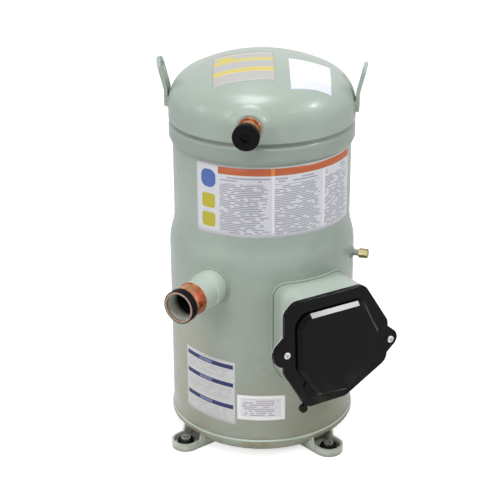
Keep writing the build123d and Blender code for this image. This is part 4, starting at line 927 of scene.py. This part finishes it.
# ---------------------------------------------------------------- floor, light and camera
def seen_light(tree, eye, gloss, other):
    """Strength for what the eye or a glass looks at, for what a gloss shows, and for the rest."""
    rays = tree.nodes.new("ShaderNodeLightPath")
    through = tree.nodes.new("ShaderNodeMath")
    through.operation = "MAXIMUM"
    tree.links.new(rays.outputs["Is Camera Ray"], through.inputs[0])
    tree.links.new(rays.outputs["Is Transmission Ray"], through.inputs[1])
    strength = other
    for share, level in ((rays.outputs["Is Glossy Ray"], gloss), (through.outputs[0], eye)):
        pick = tree.nodes.new("ShaderNodeMix")
        tree.links.new(share, pick.inputs[0])
        if isinstance(strength, float):
            pick.inputs[2].default_value = strength
        else:
            tree.links.new(strength, pick.inputs[2])
        pick.inputs[3].default_value = level
        strength = pick.outputs[0]
    return strength


floor_half = 6.0
floor_pale = (0.93, 0.93, 0.93, 1.0)
# Strengths as seen by the eye, in gloss, and as light on other things.
floor_strengths = (0.62, 0.12, 0.0)
room_strengths = (1.0, 1.0, 0.36)


def shown_white(name, colour):
    """A floor's finish that keeps the object's shadow and looks white to the eye."""
    material = bpy.data.materials.new(name)
    material.use_nodes = True
    tree = material.node_tree
    shader = tree.nodes["Principled BSDF"]
    shader.inputs["Base Color"].default_value = colour
    shader.inputs["Roughness"].default_value = 0.9
    shader.inputs["Specular IOR Level"].default_value = 0.0
    shader.inputs["Emission Color"].default_value = (1.0, 1.0, 1.0, 1.0)
    tree.links.new(seen_light(tree, *floor_strengths), shader.inputs["Emission Strength"])
    return material


def lay_floor():
    """The pale floor under the feet."""
    bm = bmesh.new()
    bmesh.ops.create_grid(bm, x_segments=1, y_segments=1, size=floor_half)
    mesh = bpy.data.meshes.new("floor")
    bm.to_mesh(mesh)
    bm.free()
    mesh.materials.append(shown_white("floor", floor_pale))
    floor = bpy.data.objects.new("floor", mesh)
    bpy.context.scene.collection.objects.link(floor)


body_middle = (0.0, 0.0, 0.25)
neck_middle = (0.0, 0.0, 0.45)
cover_strip = (0.146, -0.145, 0.232)
lamps = (
    # name, place, what it is turned to, width, height, watts
    ("overhead", (-0.2, -0.5, 2.2), body_middle, 0.8, 0.8, 24),
    ("front", (-1.2, -2.0, 1.3), body_middle, 0.8, 0.8, 12.5),
    ("left_window", (-1.9, -0.55, 1.09), neck_middle, 0.3, 0.45, 3.2),
    ("right_window", (1.28, -1.23, 1.57), neck_middle, 0.25, 0.25, 1.6),
    ("cover_light", (1.005, -0.27, 1.09), cover_strip, 0.16, 0.12, 4.8),
)


def hang_lamp(name, place, target, width, height, power):
    """A rectangular lamp turned to a point."""
    lamp = bpy.data.lights.new(name, "AREA")
    lamp.shape = "RECTANGLE"
    lamp.size = width
    lamp.size_y = height
    lamp.energy = power
    holder = bpy.data.objects.new(name, lamp)
    holder.location = place
    holder.rotation_euler = (Vector(target) - Vector(place)).to_track_quat("-Z", "Y").to_euler()
    bpy.context.scene.collection.objects.link(holder)


def light_room():
    """A white room that lights softly from all sides, and the lamps in it."""
    scene = bpy.context.scene
    world = bpy.data.worlds.new("room")
    scene.world = world
    world.use_nodes = True
    tree = world.node_tree
    back = tree.nodes["Background"]
    tree.links.new(seen_light(tree, *room_strengths), back.inputs["Strength"])
    back.inputs["Color"].default_value = (1.0, 1.0, 1.0, 1.0)
    for lamp in lamps:
        hang_lamp(*lamp)


# The camera's azimuth and tilt in degrees, its distance from the shaft's axis and its height.
facing = 4.0
down = 23.0
camera_reach = 1.7247
camera_z = 0.9785


def place_camera():
    """A long lens in front of the part, looking down at it."""
    scene = bpy.context.scene
    lens = bpy.data.cameras.new("camera")
    lens.sensor_width = 36.0
    lens.lens = 101.4
    lens.shift_x = -0.024
    holder = bpy.data.objects.new("camera", lens)
    holder.location = outward(facing) * camera_reach + Vector((0, 0, camera_z))
    holder.rotation_euler = (radians(90.0 - down), 0.0, radians(facing))
    scene.collection.objects.link(holder)
    scene.camera = holder
    scene.view_settings.view_transform = "Standard"


lay_floor()
light_room()
place_camera()
